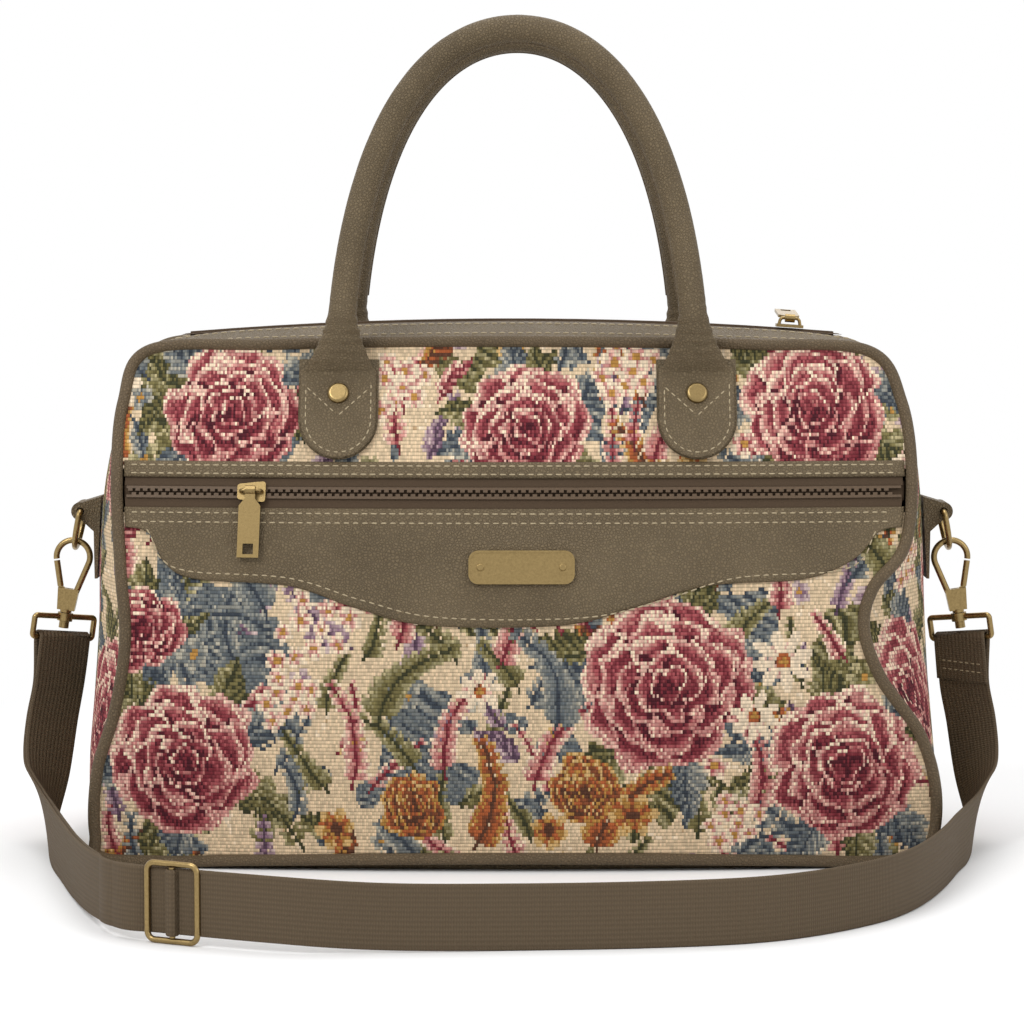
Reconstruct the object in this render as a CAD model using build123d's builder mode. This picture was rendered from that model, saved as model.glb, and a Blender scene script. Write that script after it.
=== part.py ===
"""Tapestry carpet bag with rolled leather handles, a zipped front pocket and a clip-on webbing strap.

Millimetres. The origin is the middle of the base on the floor, +Z is up, the front faces -Y.
"""
from build123d import *
import math
import os

# Bag body
bag_height = 288.0  # floor to the top zip
panel_top = 275.0  # seam between the front panel and the top strip
gusset_top = 260.0  # seam between the gussets and the top strips
belly_height = 80.0  # where the bag is deepest
belly_depth = 107.0  # half depth there
shoulder_depth = 53.0  # half depth at the panel's top seam
front_bow = 1400.0  # plan radius of the front and back
crown_radius = 2200.0  # the top zip's gentle arch
panel_thickness = 2.4
gusset_thickness = 2.2
base_thickness = 2.4
board_thickness = 2.6
piping_radius = 3.25
piping_butt = 0.6  # gap between the piping's two ends
seam_gap = 0.7  # clearance between sewn edges and the piping
skin_gap = 0.1  # clearance between layers that lie on each other

# Front trims, heights at the middle of the bag; the pocket zip's height carries the others
leather_thickness = 1.8
zip_height = 199.0
binding_bottom = zip_height + 7.7
binding_top = binding_bottom + 8.3
yoke_top = zip_height - 8.0
yoke_middle = yoke_top - 60.0
trim_reach = 215.0  # half width of the trims before they are cut to the bag's outline
panel_lap = 3.0  # how far the pocket panel reaches up behind the yoke
binding_lap = 4.0  # how far the binding covers the upper panel's edge
name_plate_width = 55.6
name_plate_height = 17.8
name_plate_thickness = 1.4
name_plate_corner = 5.3
name_plate_offset = 5.0
name_plate_centre = yoke_top - 30.0
plate_border = 1.2
plate_pin_radius = 1.9
plate_pin_spacing = 43.0

# Zips
tooth_pitch = 4.0
tooth_width = 2.4
tooth_length = 2.6
tooth_spine = 1.3
tooth_gap = 0.8  # between the two rows
tape_thickness = 1.2
slider_length = 15.0
slider_width = 11.5
slider_thickness = 1.6
slider_clearance = 0.4
slider_corner = 1.6
pocket_slider_x = -137.0
top_slider_x = 152.0
bail_wire = 1.1
pull_length = 36.0
pull_width = 11.5
pull_thickness = 1.6
top_strip_edge = 12.0  # distance of the top strips from the zip's centre line

# Handles
handle_radius = 7.5
handle_core_radius = 5.2
handle_offset = 3.0
handle_spread = 95.0
handle_foot = 290.0
handle_peak = 443.0
handle_crown = 45.0  # half width of the grip's flattest stretch
handle_leg_bend = 83.5  # half width that the legs of the grip head for
handle_lean = 16.0
handle_foot_depth = 66.0
tab_width = 41.0
tab_bottom = 217.0
tab_top = 262.0
tab_thickness = 2.4
rivet_height = 250.6
rivet_radius = 5.75
rivet_dome = 2.2

# Side loops, rings and hooks
loop_height = 183.0
loop_reach = 236.5
loop_width = 21.0
loop_outer = 5.0
loop_foot = 146.0
ring_wire = 1.6
ring_half_width = 14.0
ring_drop = 21.0
ring_corner = 3.0
ring_tilt = 11.0
bar_clearance = 0.5
hook_wire = 1.7
hook_gap = 0.5
hook_tilt = 8.5
hook_arc = 9.2
limb_top = 11.0
limb_bottom = 28.0
limb_foot = 4.2
gate_seam = 12.5
gate_seam_gap = 0.4
block_top = 27.0
block_bottom = 39.0
block_top_width = 11.6
block_bottom_width = 9.5
block_thickness = 5.0
slot_width = 2.2
gate_tongue = 1.8
pin_offset = 1.0
pin_depth = 31.5
pin_radius = 1.3
pin_clearance = 0.06
collar_top = 40.5
collar_bottom = 45.0
collar_radius = 4.25
post_radius = 2.0
post_clearance = 0.3
post_head_radius = 2.75
post_head_bottom = 49.0
eye_wire = 1.6
eye_width = 38.0
eye_top = 42.7
eye_bottom = 54.5
eye_corner = 1.8
eye_turn = 38.0

# Shoulder strap
strap_width = 32.0
strap_thickness = 1.6
layer_gap = 0.25
adjuster_width = 30.4
adjuster_height = 40.0
adjuster_wire = 1.5
adjuster_lift = 4.3  # the adjuster's lower rail stands on the floor and lifts the strap there
end_loop_wall = 1.6

# Outline of the front panel's piping, from the top left corner anticlockwise, as (x, z)
left_side = [(-194, 272.5), (-207.5, 245), (-209.5, 205), (-206.5, 160), (-203.5, 122),
             (-209, 85), (-219, 52), (-221, 18), (-213, 3.6)]
right_side = [(213, 3.6), (223, 15), (224, 42), (215, 72), (194, 102), (185, 128), (190, 149),
              (207, 170), (212, 205), (208, 245), (191, 272)]
bottom_edge = [(-140, 5.0), (-70, 6.5), (0, 7.0), (70, 6.5), (140, 5.0)]
top_edge = [(130, 275.6), (65, 277.0), (0, 277.5), (-65, 277.0), (-130, 275.6)]


def depth_at(height):
    """Half depth of the bag at this height on its centre line, a parabola in side view."""
    share = (height - belly_height) / (panel_top - belly_height)
    return belly_depth - (belly_depth - shoulder_depth) * share**2


def depth_slope(height):
    """Change of that half depth with height."""
    rise = panel_top - belly_height
    return -2 * (belly_depth - shoulder_depth) * (height - belly_height) / rise**2


def front_point(x, height, lift=0.0):
    """Point on the front of the bag, raised by lift."""
    reach = front_bow + depth_at(height) + lift
    return (x, front_bow - math.sqrt(reach**2 - x**2), height)


def front_plane(x, height, lift=0.0):
    """Plane that touches the front of the bag there, facing out."""
    reach = front_bow + depth_at(height) + lift
    run = math.sqrt(reach**2 - x**2)
    across = x / run
    up = -depth_slope(height) * reach / run
    return Plane(origin=front_point(x, height, lift), x_dir=(1, across, 0), z_dir=(across, -1, up))


def front_shell(inner, outer, low, high):
    """Curved slab that follows the front of the bag between two lifts and two heights."""
    spread = 10.0
    sine = math.sin(math.radians(spread))
    cosine = math.cos(math.radians(spread))
    start = Plane(origin=(0, front_bow, 0), x_dir=(-sine, -cosine, 0), z_dir=(-cosine, sine, 0))
    middle = (low + high) / 2
    reach_low = front_bow + depth_at(low)
    reach_middle = reach_low + depth_slope(low) * (middle - low)
    reach_high = front_bow + depth_at(high)
    with BuildPart() as shell:
        with BuildSketch(start):
            with BuildLine():
                Bezier((reach_low + outer, low), (reach_middle + outer, middle), (reach_high + outer, high))
                Line((reach_high + outer, high), (reach_high + inner, high))
                Bezier((reach_high + inner, high), (reach_middle + inner, middle), (reach_low + inner, low))
                Line((reach_low + inner, low), (reach_low + outer, low))
            make_face()
        revolve(axis=Axis((0, front_bow, 0), (0, 0, 1)), revolution_arc=2 * spread)
    return shell.part


def bend_radii(points, closed=False):
    """Radius of each corner of a path, as large as its two runs allow."""
    vectors = [Vector(*point) for point in points]
    count = len(vectors)
    corners = range(count) if closed else range(1, count - 1)
    radii = []
    for corner in corners:
        before = vectors[corner] - vectors[corner - 1]
        after = vectors[(corner + 1) % count] - vectors[corner]
        half_turn = math.radians(before.get_angle(after)) / 2
        radii.append(0.45 * min(before.length, after.length) / math.tan(half_turn))
    return radii


def outline_face(inset):
    """Front outline in the XZ plane, drawn in by inset from the piping's centre."""
    corners = top_edge + left_side + bottom_edge + right_side
    with BuildSketch(Plane.XZ) as face:
        with BuildLine():
            FilletPolyline(*corners, radius=bend_radii(corners, closed=True), close=True)
        make_face()
        offset(amount=-inset, kind=Kind.ARC)
    return face.sketch


def front_piece(inner, outer, low, high, inset):
    """Slab of the bag's front within the outline, drawn in by inset."""
    slab = front_shell(inner, outer, low, high)
    face = outline_face(inset)
    with BuildPart() as piece:
        add(slab)
        extrude(face, amount=belly_depth + 40, mode=Mode.INTERSECT)
    return piece.part


def swept_tube(path, radius):
    """Round wire or cord along a path."""
    with BuildPart() as tube:
        with BuildLine():
            add(path)
        with BuildSketch(Plane(origin=path @ 0, z_dir=path % 0)):
            Circle(radius)
        sweep(path=path)
    return tube.part


def write(part, name):
    """Label a finished piece and save it."""
    part.label = name
    export_step(part, "parts/" + name + ".step")


def write_with_back(part, front_name, back_name):
    """Save a front piece and its twin on the back."""
    twin = mirror(part, about=Plane.XZ)
    write(part, front_name)
    write(twin, back_name)


os.makedirs("parts", exist_ok=True)
panel_inset = piping_radius + seam_gap

# Tapestry panels
pocket_panel = front_piece(-panel_thickness, 0, 1, yoke_top - panel_lap, panel_inset)
write(pocket_panel, "pocket_panel")
upper_panel = front_piece(-panel_thickness, 0, binding_bottom + binding_lap, panel_top + 4, panel_inset)
write(upper_panel, "upper_front_panel")
whole_panel = front_piece(-panel_thickness, 0, 1, panel_top + 4, panel_inset)
write(mirror(whole_panel, about=Plane.XZ), "back_panel")

# Piping round the front and the back panel, its two ends meeting under the bag
butt_height = bottom_edge[2][1]
piping_outline = [(-piping_butt / 2, butt_height)] + bottom_edge[1::-1] + left_side[::-1] + top_edge[::-1]
piping_outline += right_side[::-1] + bottom_edge[:2:-1] + [(piping_butt / 2, butt_height)]
piping_corners = [front_point(x, z) for x, z in piping_outline]
with BuildLine() as piping_line:
    FilletPolyline(*piping_corners, radius=bend_radii(piping_corners))
front_piping = swept_tube(piping_line.wire(), piping_radius)
write_with_back(front_piping, "front_piping", "back_piping")


def gusset(side, stations):
    """Side panel of the bag, arched out between the two rows of piping."""
    with BuildPart() as panel:
        for edge_x, middle_x, z in stations:
            edge_y = -front_point(edge_x, z)[1] - panel_inset - skin_gap * 4
            inner_edge = edge_x - side * gusset_thickness
            inner_middle = middle_x - side * gusset_thickness
            with BuildSketch(Plane.XY.offset(z)):
                with BuildLine():
                    ThreePointArc((edge_x, -edge_y), (middle_x, 0), (edge_x, edge_y))
                    Line((edge_x, edge_y), (inner_edge, edge_y))
                    ThreePointArc((inner_edge, edge_y), (inner_middle, 0), (inner_edge, -edge_y))
                    Line((inner_edge, -edge_y), (edge_x, -edge_y))
                make_face()
        loft()
    return panel.part


base_top = base_thickness + skin_gap
left_stations = [(-213, base_top), (-221, 18), (-219, 52), (-209, 85), (-204, 122), (-206, 160),
                 (-209, 205), (-207, 240), (-202, gusset_top)]
right_stations = [(213, base_top), (223, 18), (223, 45), (212, 76), (196, 100), (188, 130), (194, 155),
                  (210, 185), (212, 215), (208, 242), (201, gusset_top)]
left_middles = [-224, -231, -231.5, -229.5, -227, -226, -222, -213, -204]
right_middles = [224, 231, 231.5, 230, 228.5, 227, 226, 224, 221, 213, 204]
left_edges = [(x, middle, z) for (x, z), middle in zip(left_stations, left_middles)]
right_edges = [(x, middle, z) for (x, z), middle in zip(right_stations, right_middles)]
write(gusset(-1, left_edges), "left_gusset")
write(gusset(1, right_edges), "right_gusset")

# Base and its stiffener
with BuildPart() as base_panel:
    with BuildSketch():
        with BuildLine():
            base_front = depth_at(0) - panel_inset - 0.8
            corner_x = 210
            corner_y = -front_point(corner_x, 0)[1] - panel_inset - 0.8
            ThreePointArc((-corner_x, -corner_y), (0, -base_front), (corner_x, -corner_y))
            ThreePointArc((corner_x, -corner_y), (corner_x + 11, 0), (corner_x, corner_y))
            ThreePointArc((corner_x, corner_y), (0, base_front), (-corner_x, corner_y))
            ThreePointArc((-corner_x, corner_y), (-corner_x - 11, 0), (-corner_x, -corner_y))
        make_face()
    extrude(amount=base_thickness)
    fillet(base_panel.edges().group_by(Axis.Z)[0], base_thickness / 2)
write(base_panel.part, "base_panel")

board_inset = 12.0
with BuildPart() as base_board:
    with BuildSketch(Plane.XY.offset(base_top)):
        RectangleRounded(2 * (corner_x - board_inset), 2 * (corner_y - board_inset), 20)
    extrude(amount=board_thickness)
write(base_board.part, "base_board")


def bag_section(height, side_inset, front_inset, back_inset):
    """Plan of the bag's inside at this height, drawn in from the outer skin."""
    left_edge, left_middle = side_at(left_edges, height)
    right_edge, right_middle = side_at(right_edges, height)
    left_edge += side_inset + corner_inset
    left_middle += side_inset
    right_edge -= side_inset + corner_inset
    right_middle -= side_inset
    front = [front_point(x, height, -front_inset) for x in (left_edge, 0, right_edge)]
    back = [front_point(x, height, -back_inset) for x in (left_edge, 0, right_edge)]
    with BuildSketch(Plane.XY.offset(height)) as section:
        with BuildLine():
            ThreePointArc(front[0][:2], front[1][:2], front[2][:2])
            ThreePointArc(front[2][:2], (right_middle, 0), (back[2][0], -back[2][1]))
            ThreePointArc((back[2][0], -back[2][1]), (0, -back[1][1]), (back[0][0], -back[0][1]))
            ThreePointArc((back[0][0], -back[0][1]), (left_middle, 0), front[0][:2])
        make_face()
    return section.sketch


def side_at(stations, height):
    """Edge and middle of a gusset at this height, between its stations."""
    for lower, upper in zip(stations, stations[1:]):
        if height <= upper[2]:
            share = (height - lower[2]) / (upper[2] - lower[2])
            edge = lower[0] + share * (upper[0] - lower[0])
            middle = lower[1] + share * (upper[1] - lower[1])
            return edge, middle
    return stations[-1][:2]


# Lining of the main compartment: an open bag inside the panels
lining_thickness = 0.7
lining_bottom = base_top + board_thickness + skin_gap
lining_top = gusset_top
lining_heights = [lining_bottom, 30, 60, 90, 120, 150, 180, 205, 232, lining_top]
pocket_room = 11.6  # the front of the lining stands off the pocket
lining_inset = panel_thickness + 1.6
corner_inset = 7.0  # keeps the lining's corners off the piping
inner_sections = [bag_section(height, lining_inset + lining_thickness, pocket_room + lining_thickness,
                              lining_inset + lining_thickness) for height in lining_heights]
outer_sections = [bag_section(height, lining_inset, pocket_room, lining_inset) for height in lining_heights]
with BuildPart() as lining_hollow:
    loft(inner_sections, ruled=True)
with BuildPart() as lining:
    loft(outer_sections, ruled=True)
    add(lining_hollow.part.moved(Location((0, 0, lining_thickness))), mode=Mode.SUBTRACT)
write(lining.part, "lining")

# Pocket bag behind the front pocket, sewn to both zip tapes
pocket_bottom = 60.0
pocket_depth = 10.2
pocket_cloth = 0.6
pocket_half_width = 188.0
pocket_back = front_shell(-pocket_depth, -pocket_depth + pocket_cloth, pocket_bottom, zip_height + 8)
pocket_floor = front_shell(-pocket_depth, -panel_thickness - skin_gap, pocket_bottom - pocket_cloth,
                           pocket_bottom)
pocket_roof = front_shell(-pocket_depth, -tape_thickness - 3 * skin_gap, zip_height + 8,
                          zip_height + 8 + pocket_cloth)
with BuildPart() as pocket_lining:
    add(pocket_back)
    add(pocket_floor)
    add(pocket_roof)
    with BuildSketch(Plane.XZ):
        with Locations((0, zip_height / 2)):
            Rectangle(2 * pocket_half_width, 2 * zip_height)
    extrude(amount=belly_depth + 40, mode=Mode.INTERSECT)
write(pocket_lining.part, "pocket_lining")


# Leather trims on the front
def trim_on_front(outline, inner, outer, low, high):
    """Flat outline in the XZ plane, wrapped onto the front of the bag."""
    slab = front_shell(inner, outer, low, high)
    with BuildPart() as trim:
        add(slab)
        extrude(outline, amount=belly_depth + 40, mode=Mode.INTERSECT)
    return trim.part


bag_outline = outline_face(panel_inset)
trim_outer = skin_gap + leather_thickness
binding = trim_on_front(bag_outline, skin_gap, trim_outer, binding_bottom, binding_top)
write(binding, "pocket_binding")

yoke_drops = [(38, 60), (80, 51), (118, 40), (170, 37), (188, 29), (197, 13), (trim_reach, 10)]
yoke_half = [(x, yoke_top - drop) for x, drop in yoke_drops]
yoke_edge = [(-x, z) for x, z in yoke_half[::-1]] + yoke_half
with BuildSketch(Plane.XZ) as yoke_shape:
    with BuildLine():
        Spline(*yoke_edge)
        Polyline(yoke_edge[-1], (trim_reach, yoke_top), (-trim_reach, yoke_top), yoke_edge[0])
    make_face()
    add(bag_outline, mode=Mode.INTERSECT)
yoke = trim_on_front(yoke_shape.sketch, skin_gap, trim_outer, yoke_middle - 6, yoke_top)
write(yoke, "pocket_yoke")

# Pocket zip: two tapes, two rows of teeth
row_bottom = zip_height + tooth_gap / 2
tape_reach = row_bottom + tooth_length + skin_gap
upper_tape = front_piece(-tape_thickness - skin_gap, -skin_gap, tape_reach,
                         binding_bottom + binding_lap - skin_gap, panel_inset)
write(upper_tape, "pocket_zip_tape_upper")
lower_tape = front_piece(-tape_thickness - skin_gap, -skin_gap, yoke_top - panel_lap + skin_gap,
                         2 * zip_height - tape_reach, panel_inset)
write(lower_tape, "pocket_zip_tape_lower")
zip_left = -204.0
zip_right = 206.0


def tooth_comb(start_x, end_x, centre, direction, shift):
    """Row of zip teeth with its spine, flat, teeth pointing at the zip's centre line."""
    count = int((end_x - start_x - tooth_pitch) / tooth_pitch)
    first = start_x + tooth_pitch / 2 + shift
    root = centre + direction * (tooth_gap / 2 + tooth_length)
    with BuildSketch() as comb:
        with Locations(((start_x + end_x) / 2, root - direction * tooth_spine / 2)):
            Rectangle(end_x - start_x, tooth_spine)
        with Locations(*[(first + tooth_pitch * index, root - direction * tooth_length / 2)
                         for index in range(count)]):
            Rectangle(tooth_width, tooth_length)
    return comb.sketch


tooth_inner = -tape_thickness
tooth_outer = 1.1
for row_name, direction, shift in (("upper", 1, 0.0), ("lower", -1, tooth_pitch / 2)):
    comb = Plane.XZ * tooth_comb(zip_left, zip_right, zip_height, direction, shift)
    row = trim_on_front(comb, tooth_inner, tooth_outer, zip_height - 5, zip_height + 5)
    write(row, "pocket_zip_teeth_" + row_name)

# Bare name plate with a raised border, held by two pins
plate_plane = front_plane(name_plate_offset, name_plate_centre, trim_outer + 0.35)
with BuildPart() as name_plate:
    with BuildSketch(plate_plane):
        RectangleRounded(name_plate_width, name_plate_height, name_plate_corner)
    extrude(amount=name_plate_thickness)
    with BuildSketch(plate_plane.offset(name_plate_thickness)):
        RectangleRounded(name_plate_width - 2 * plate_border, name_plate_height - 2 * plate_border,
                         name_plate_corner - plate_border)
    extrude(amount=-0.4, mode=Mode.SUBTRACT)
    with BuildSketch(plate_plane):
        with GridLocations(plate_pin_spacing, 0, 2, 1):
            Circle(plate_pin_radius - 0.6)
    extrude(amount=name_plate_thickness, mode=Mode.SUBTRACT)
write(name_plate.part, "name_plate")
with BuildPart() as plate_pins:
    with BuildSketch(plate_plane):
        with GridLocations(plate_pin_spacing, 0, 2, 1):
            Circle(plate_pin_radius - 0.7)
    extrude(amount=name_plate_thickness)
    with BuildSketch(plate_plane.offset(name_plate_thickness - 0.3)):
        with GridLocations(plate_pin_spacing, 0, 2, 1):
            Circle(plate_pin_radius)
    extrude(amount=0.9)
    fillet(plate_pins.faces().sort_by(Axis.Y)[0:2].edges(), 0.5)
write(plate_pins.part, "name_plate_pins")

# Handles: a rolled grip on a core, flaring into a flat tab at each foot
handle_rise = handle_peak - handle_foot
handle_plane = Plane(origin=(handle_offset, -handle_foot_depth, handle_foot), x_dir=(1, 0, 0),
                     z_dir=(0, -handle_rise, handle_lean))
grip_height = math.hypot(handle_rise, handle_lean)
foot_half_spread = 93.0
leg_bend = (handle_leg_bend, grip_height - 48)
with BuildLine(handle_plane) as grip_line:
    Bezier((-foot_half_spread, 0), (-leg_bend[0], leg_bend[1]), (-handle_crown, grip_height), (0, grip_height))
    Bezier((0, grip_height), (handle_crown, grip_height), leg_bend, (foot_half_spread, 0))
grip_path = grip_line.wire()
flare_overlap = 3.0
flare_step = 0.15  # the flare's leather laps over the roll
tab_lift = trim_outer + skin_gap
tab_outer = tab_lift + tab_thickness


def tab_face(centre, width, low, high):
    """Upright tab with a round lower end, in the XZ plane."""
    radius = width / 2
    with BuildSketch(Plane.XZ) as face:
        with BuildLine():
            Line((centre - radius, low + radius), (centre - radius, high))
            Line((centre - radius, high), (centre + radius, high))
            Line((centre + radius, high), (centre + radius, low + radius))
            ThreePointArc((centre + radius, low + radius), (centre, low), (centre - radius, low + radius))
        make_face()
    return face.sketch


def flare(side):
    """Foot of the grip, spreading from the round roll to the flat tab."""
    end = (side + 1) / 2
    foot = Plane(origin=grip_path @ end, x_dir=(1, 0, 0), z_dir=(grip_path % end) * side)
    neck = Vector(handle_offset + side * 93.8, -handle_foot_depth + 1.6, handle_foot - 13)
    skin = front_plane(handle_offset + side * handle_spread, tab_top, tab_lift + 2.0)
    down = Vector(0, 0, -1)
    with BuildPart() as foot_part:
        with BuildSketch(foot.offset(-flare_overlap)):
            Circle(handle_radius + flare_step)
        with BuildSketch(Plane(origin=neck, x_dir=(1, 0, 0), z_dir=down)):
            Ellipse(12.0, 5.6)
        with BuildSketch(Plane(origin=skin.origin, x_dir=skin.x_dir, z_dir=skin.y_dir * -1)):
            Ellipse(tab_width / 2 - 0.3, 1.9)
        loft()
    return foot_part.part


tabs = []
patches = []
rivets = []
for side in (-1, 1):
    centre = handle_offset + side * handle_spread
    tabs.append(trim_on_front(tab_face(centre, tab_width, tab_bottom, tab_top + 1.0), tab_lift, tab_outer,
                              tab_bottom - 2, tab_top + 2))
    patch_face = tab_face(centre, tab_width + 1.5, tab_bottom - 0.75, tab_top + 6.0)
    patches.append(trim_on_front(patch_face, skin_gap,
                                 trim_outer, tab_bottom - 3, tab_top + 7))
    with BuildPart() as rivet:
        with BuildSketch(front_plane(centre, rivet_height, tab_outer + skin_gap)):
            Circle(rivet_radius)
        extrude(amount=rivet_dome)
        fillet(rivet.faces().sort_by(Axis.Y)[0].edges(), rivet_dome * 0.8)
    rivets.append(rivet.part)

flares = [flare(side) for side in (-1, 1)]
with BuildPart() as handle:
    with BuildSketch(Plane(origin=grip_path @ 0, z_dir=grip_path % 0)):
        Circle(handle_radius)
    sweep(path=grip_path)
    add(flares)
    add(tabs)
with BuildPart() as handle_bore:
    with BuildSketch(Plane(origin=grip_path @ 0, z_dir=grip_path % 0)):
        Circle(handle_core_radius + skin_gap)
    sweep(path=grip_path)
with BuildPart() as hollow_handle:
    add(handle.part)
    add(handle_bore.part, mode=Mode.SUBTRACT)
with BuildPart() as handle_core:
    with BuildSketch(Plane(origin=grip_path @ 0, z_dir=grip_path % 0)):
        Circle(handle_core_radius)
    sweep(path=grip_path)
write_with_back(hollow_handle.part, "front_handle", "back_handle")
write_with_back(handle_core.part, "front_handle_core", "back_handle_core")
write_with_back(Compound(children=patches), "front_handle_patches", "back_handle_patches")
write_with_back(Compound(children=rivets), "front_handle_rivets", "back_handle_rivets")


def band(stations, width, thickness):
    """Flat band through stations, each a centre and the direction across the band."""
    centres = [Vector(*centre) for centre, across in stations]
    last = len(centres) - 1
    with BuildPart() as ribbon:
        for index, (centre, across) in enumerate(stations):
            heading = centres[min(index + 1, last)] - centres[max(index - 1, 0)]
            heading = heading.normalized()
            flat = Vector(*across)
            flat = (flat - heading * flat.dot(heading)).normalized()
            with BuildSketch(Plane(origin=centres[index], x_dir=flat, z_dir=heading)):
                Rectangle(width, thickness)
        loft(ruled=True)
    return ribbon.part


# Top strips and top zip
strip_thickness = 2.0
strip_clearance = 0.8


def crown_at(x):
    """Height of the top zip's arch."""
    return bag_height - x**2 / (2 * crown_radius)


seam_top = [(-203.0, 260.3), (-199.5, 266.5), (-193, 271.5), (-182, 274.6), (-150, 276.0), (-100, 277.3),
            (-50, 278.2), (0, 278.5)]
zip_top = [(-204.4, 260.3), (-200.5, 267), (-192.5, 273.5), (-181, 278.6), (-150, crown_at(150)),
           (-100, crown_at(100)), (-50, crown_at(50)), (0, crown_at(0))]
zip_side = [0.2, 0.2, 0.2, top_strip_edge, top_strip_edge, top_strip_edge, top_strip_edge, top_strip_edge]
top_stations = []
for (seam_x, seam_z), (edge_x, edge_z), edge_y in zip(seam_top, zip_top, zip_side):
    seam_y = front_point(seam_x, min(seam_z, panel_top))[1] + panel_inset + strip_clearance
    top_stations.append(((seam_x, seam_y, seam_z), (edge_x, -edge_y, edge_z)))
top_stations += [((-seam[0], seam[1], seam[2]), (-edge[0], edge[1], edge[2]))
                 for seam, edge in top_stations[-2::-1]]


def strip(pairs, thickness):
    """Flat strip between two edges, given as pairs of points; its skin lies on the pairs."""
    middles = [(Vector(*near) + Vector(*far)) * 0.5 for near, far in pairs]
    last = len(pairs) - 1
    with BuildPart() as ribbon:
        for index, (near, far) in enumerate(pairs):
            heading = (middles[min(index + 1, last)] - middles[max(index - 1, 0)]).normalized()
            across = Vector(*far) - Vector(*near)
            if index in (0, last):
                heading = Vector(0, 0, 1) if index == 0 else Vector(0, 0, -1)
            heading = (heading - across.normalized() * heading.dot(across.normalized())).normalized()
            with BuildSketch(Plane(origin=near, x_dir=across, z_dir=heading)):
                with Locations((across.length / 2, -thickness / 2)):
                    Rectangle(across.length, thickness)
        loft(ruled=True)
    return ribbon.part


write_with_back(strip(top_stations, strip_thickness), "top_strip_front", "top_strip_back")

tape_edge = tooth_gap / 2 + tooth_length + skin_gap
tape_xs = [-180, -150, -100, -50, 0, 50, 100, 150, 180]
tape_pairs = [((x, -top_strip_edge + strip_clearance, crown_at(x) - 0.8), (x, -tape_edge, crown_at(x) - 0.8))
              for x in tape_xs]
write_with_back(strip(tape_pairs, tape_thickness), "top_zip_tape_front", "top_zip_tape_back")

top_zip_half = 176.0
arch_bottom = crown_radius - 2.2
arch_top = crown_radius + 0.3
arch_centre = bag_height - crown_radius


def arch_point(x, radius):
    """Point on an arc about the top zip's far centre."""
    return (x, arch_centre + math.sqrt(radius**2 - x**2))


with BuildSketch(Plane.XZ) as arch_face:
    with BuildLine():
        ThreePointArc(arch_point(-top_zip_half, arch_top), arch_point(0, arch_top),
                      arch_point(top_zip_half, arch_top))
        Line(arch_point(top_zip_half, arch_top), arch_point(top_zip_half, arch_bottom))
        ThreePointArc(arch_point(top_zip_half, arch_bottom), arch_point(0, arch_bottom),
                      arch_point(-top_zip_half, arch_bottom))
        Line(arch_point(-top_zip_half, arch_bottom), arch_point(-top_zip_half, arch_top))
    make_face()
with BuildPart() as arch_slab:
    extrude(arch_face.sketch, amount=8, both=True)
for row_name, direction, shift in (("front", -1, 0.0), ("back", 1, tooth_pitch / 2)):
    comb = tooth_comb(-top_zip_half, top_zip_half, 0, direction, shift)
    with BuildPart() as row:
        add(arch_slab.part)
        extrude(Plane.XY.offset(crown_at(top_zip_half) - 10) * comb, amount=30, mode=Mode.INTERSECT)
    write(row.part, "top_zip_teeth_" + row_name)


# Zip sliders and pulls
bail_radius = 0.9
bail_half = 3.6
bail_height = 5.0
knuckle_radius = 2.3
knuckle_width = 5.4
knuckle_clearance = 0.3
window_size = 5.6


def zip_slider(plane):
    """Slider plate with a bail whose bar runs along the zip (local X)."""
    base = plane.offset(slider_clearance)
    narrow_half = slider_width * 0.36
    with BuildPart() as slider:
        with BuildSketch(base):
            with BuildLine():
                FilletPolyline((-slider_length / 2, -narrow_half), (slider_length / 2, -slider_width / 2),
                               (slider_length / 2, slider_width / 2), (-slider_length / 2, narrow_half),
                               radius=slider_corner, close=True)
            make_face()
        extrude(amount=slider_thickness)
        upright = Plane(origin=base.origin, x_dir=base.x_dir, z_dir=base.y_dir * -1)
        with BuildLine(upright) as bail_line:
            FilletPolyline((-bail_half - 2.2, slider_thickness - 0.3), (-bail_half - 1.4, bail_height),
                           (bail_half + 1.4, bail_height), (bail_half + 2.2, slider_thickness - 0.3),
                           radius=2.0)
        with BuildSketch(Plane(origin=bail_line.wire() @ 0, z_dir=bail_line.wire() % 0)):
            Circle(bail_radius)
        sweep(path=bail_line.wire())
    return slider.part


def zip_pull(plane, droop):
    """Pull with a knuckle on the bail, a bare plate and a square window at its end."""
    axle = plane.offset(slider_clearance + bail_height)
    flat = Plane(origin=axle.origin, x_dir=axle.x_dir, z_dir=axle.z_dir)
    flat = flat.rotated((droop, 0, 0))
    side_plane = Plane(origin=axle.origin, x_dir=axle.y_dir, z_dir=axle.x_dir)
    with BuildPart() as pull:
        with BuildSketch(flat.offset(-pull_thickness / 2)):
            with BuildLine():
                Polyline((-knuckle_width / 2, 0), (-knuckle_width / 2, -4.5), (-pull_width / 2, -8.5),
                         (-pull_width / 2, -pull_length), (pull_width / 2, -pull_length),
                         (pull_width / 2, -8.5), (knuckle_width / 2, -4.5), (knuckle_width / 2, 0),
                         close=True)
            make_face()
            with Locations((0, -pull_length + window_size / 2 + 1.8)):
                Rectangle(window_size, window_size, mode=Mode.SUBTRACT)
        extrude(amount=pull_thickness)
        with BuildSketch(side_plane.offset(-knuckle_width / 2)):
            Circle(knuckle_radius)
        extrude(amount=knuckle_width)
        with BuildSketch(side_plane.offset(-knuckle_width / 2 - 0.1)):
            Circle(bail_radius + knuckle_clearance)
        extrude(amount=knuckle_width + 0.2, mode=Mode.SUBTRACT)
    return pull.part


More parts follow.
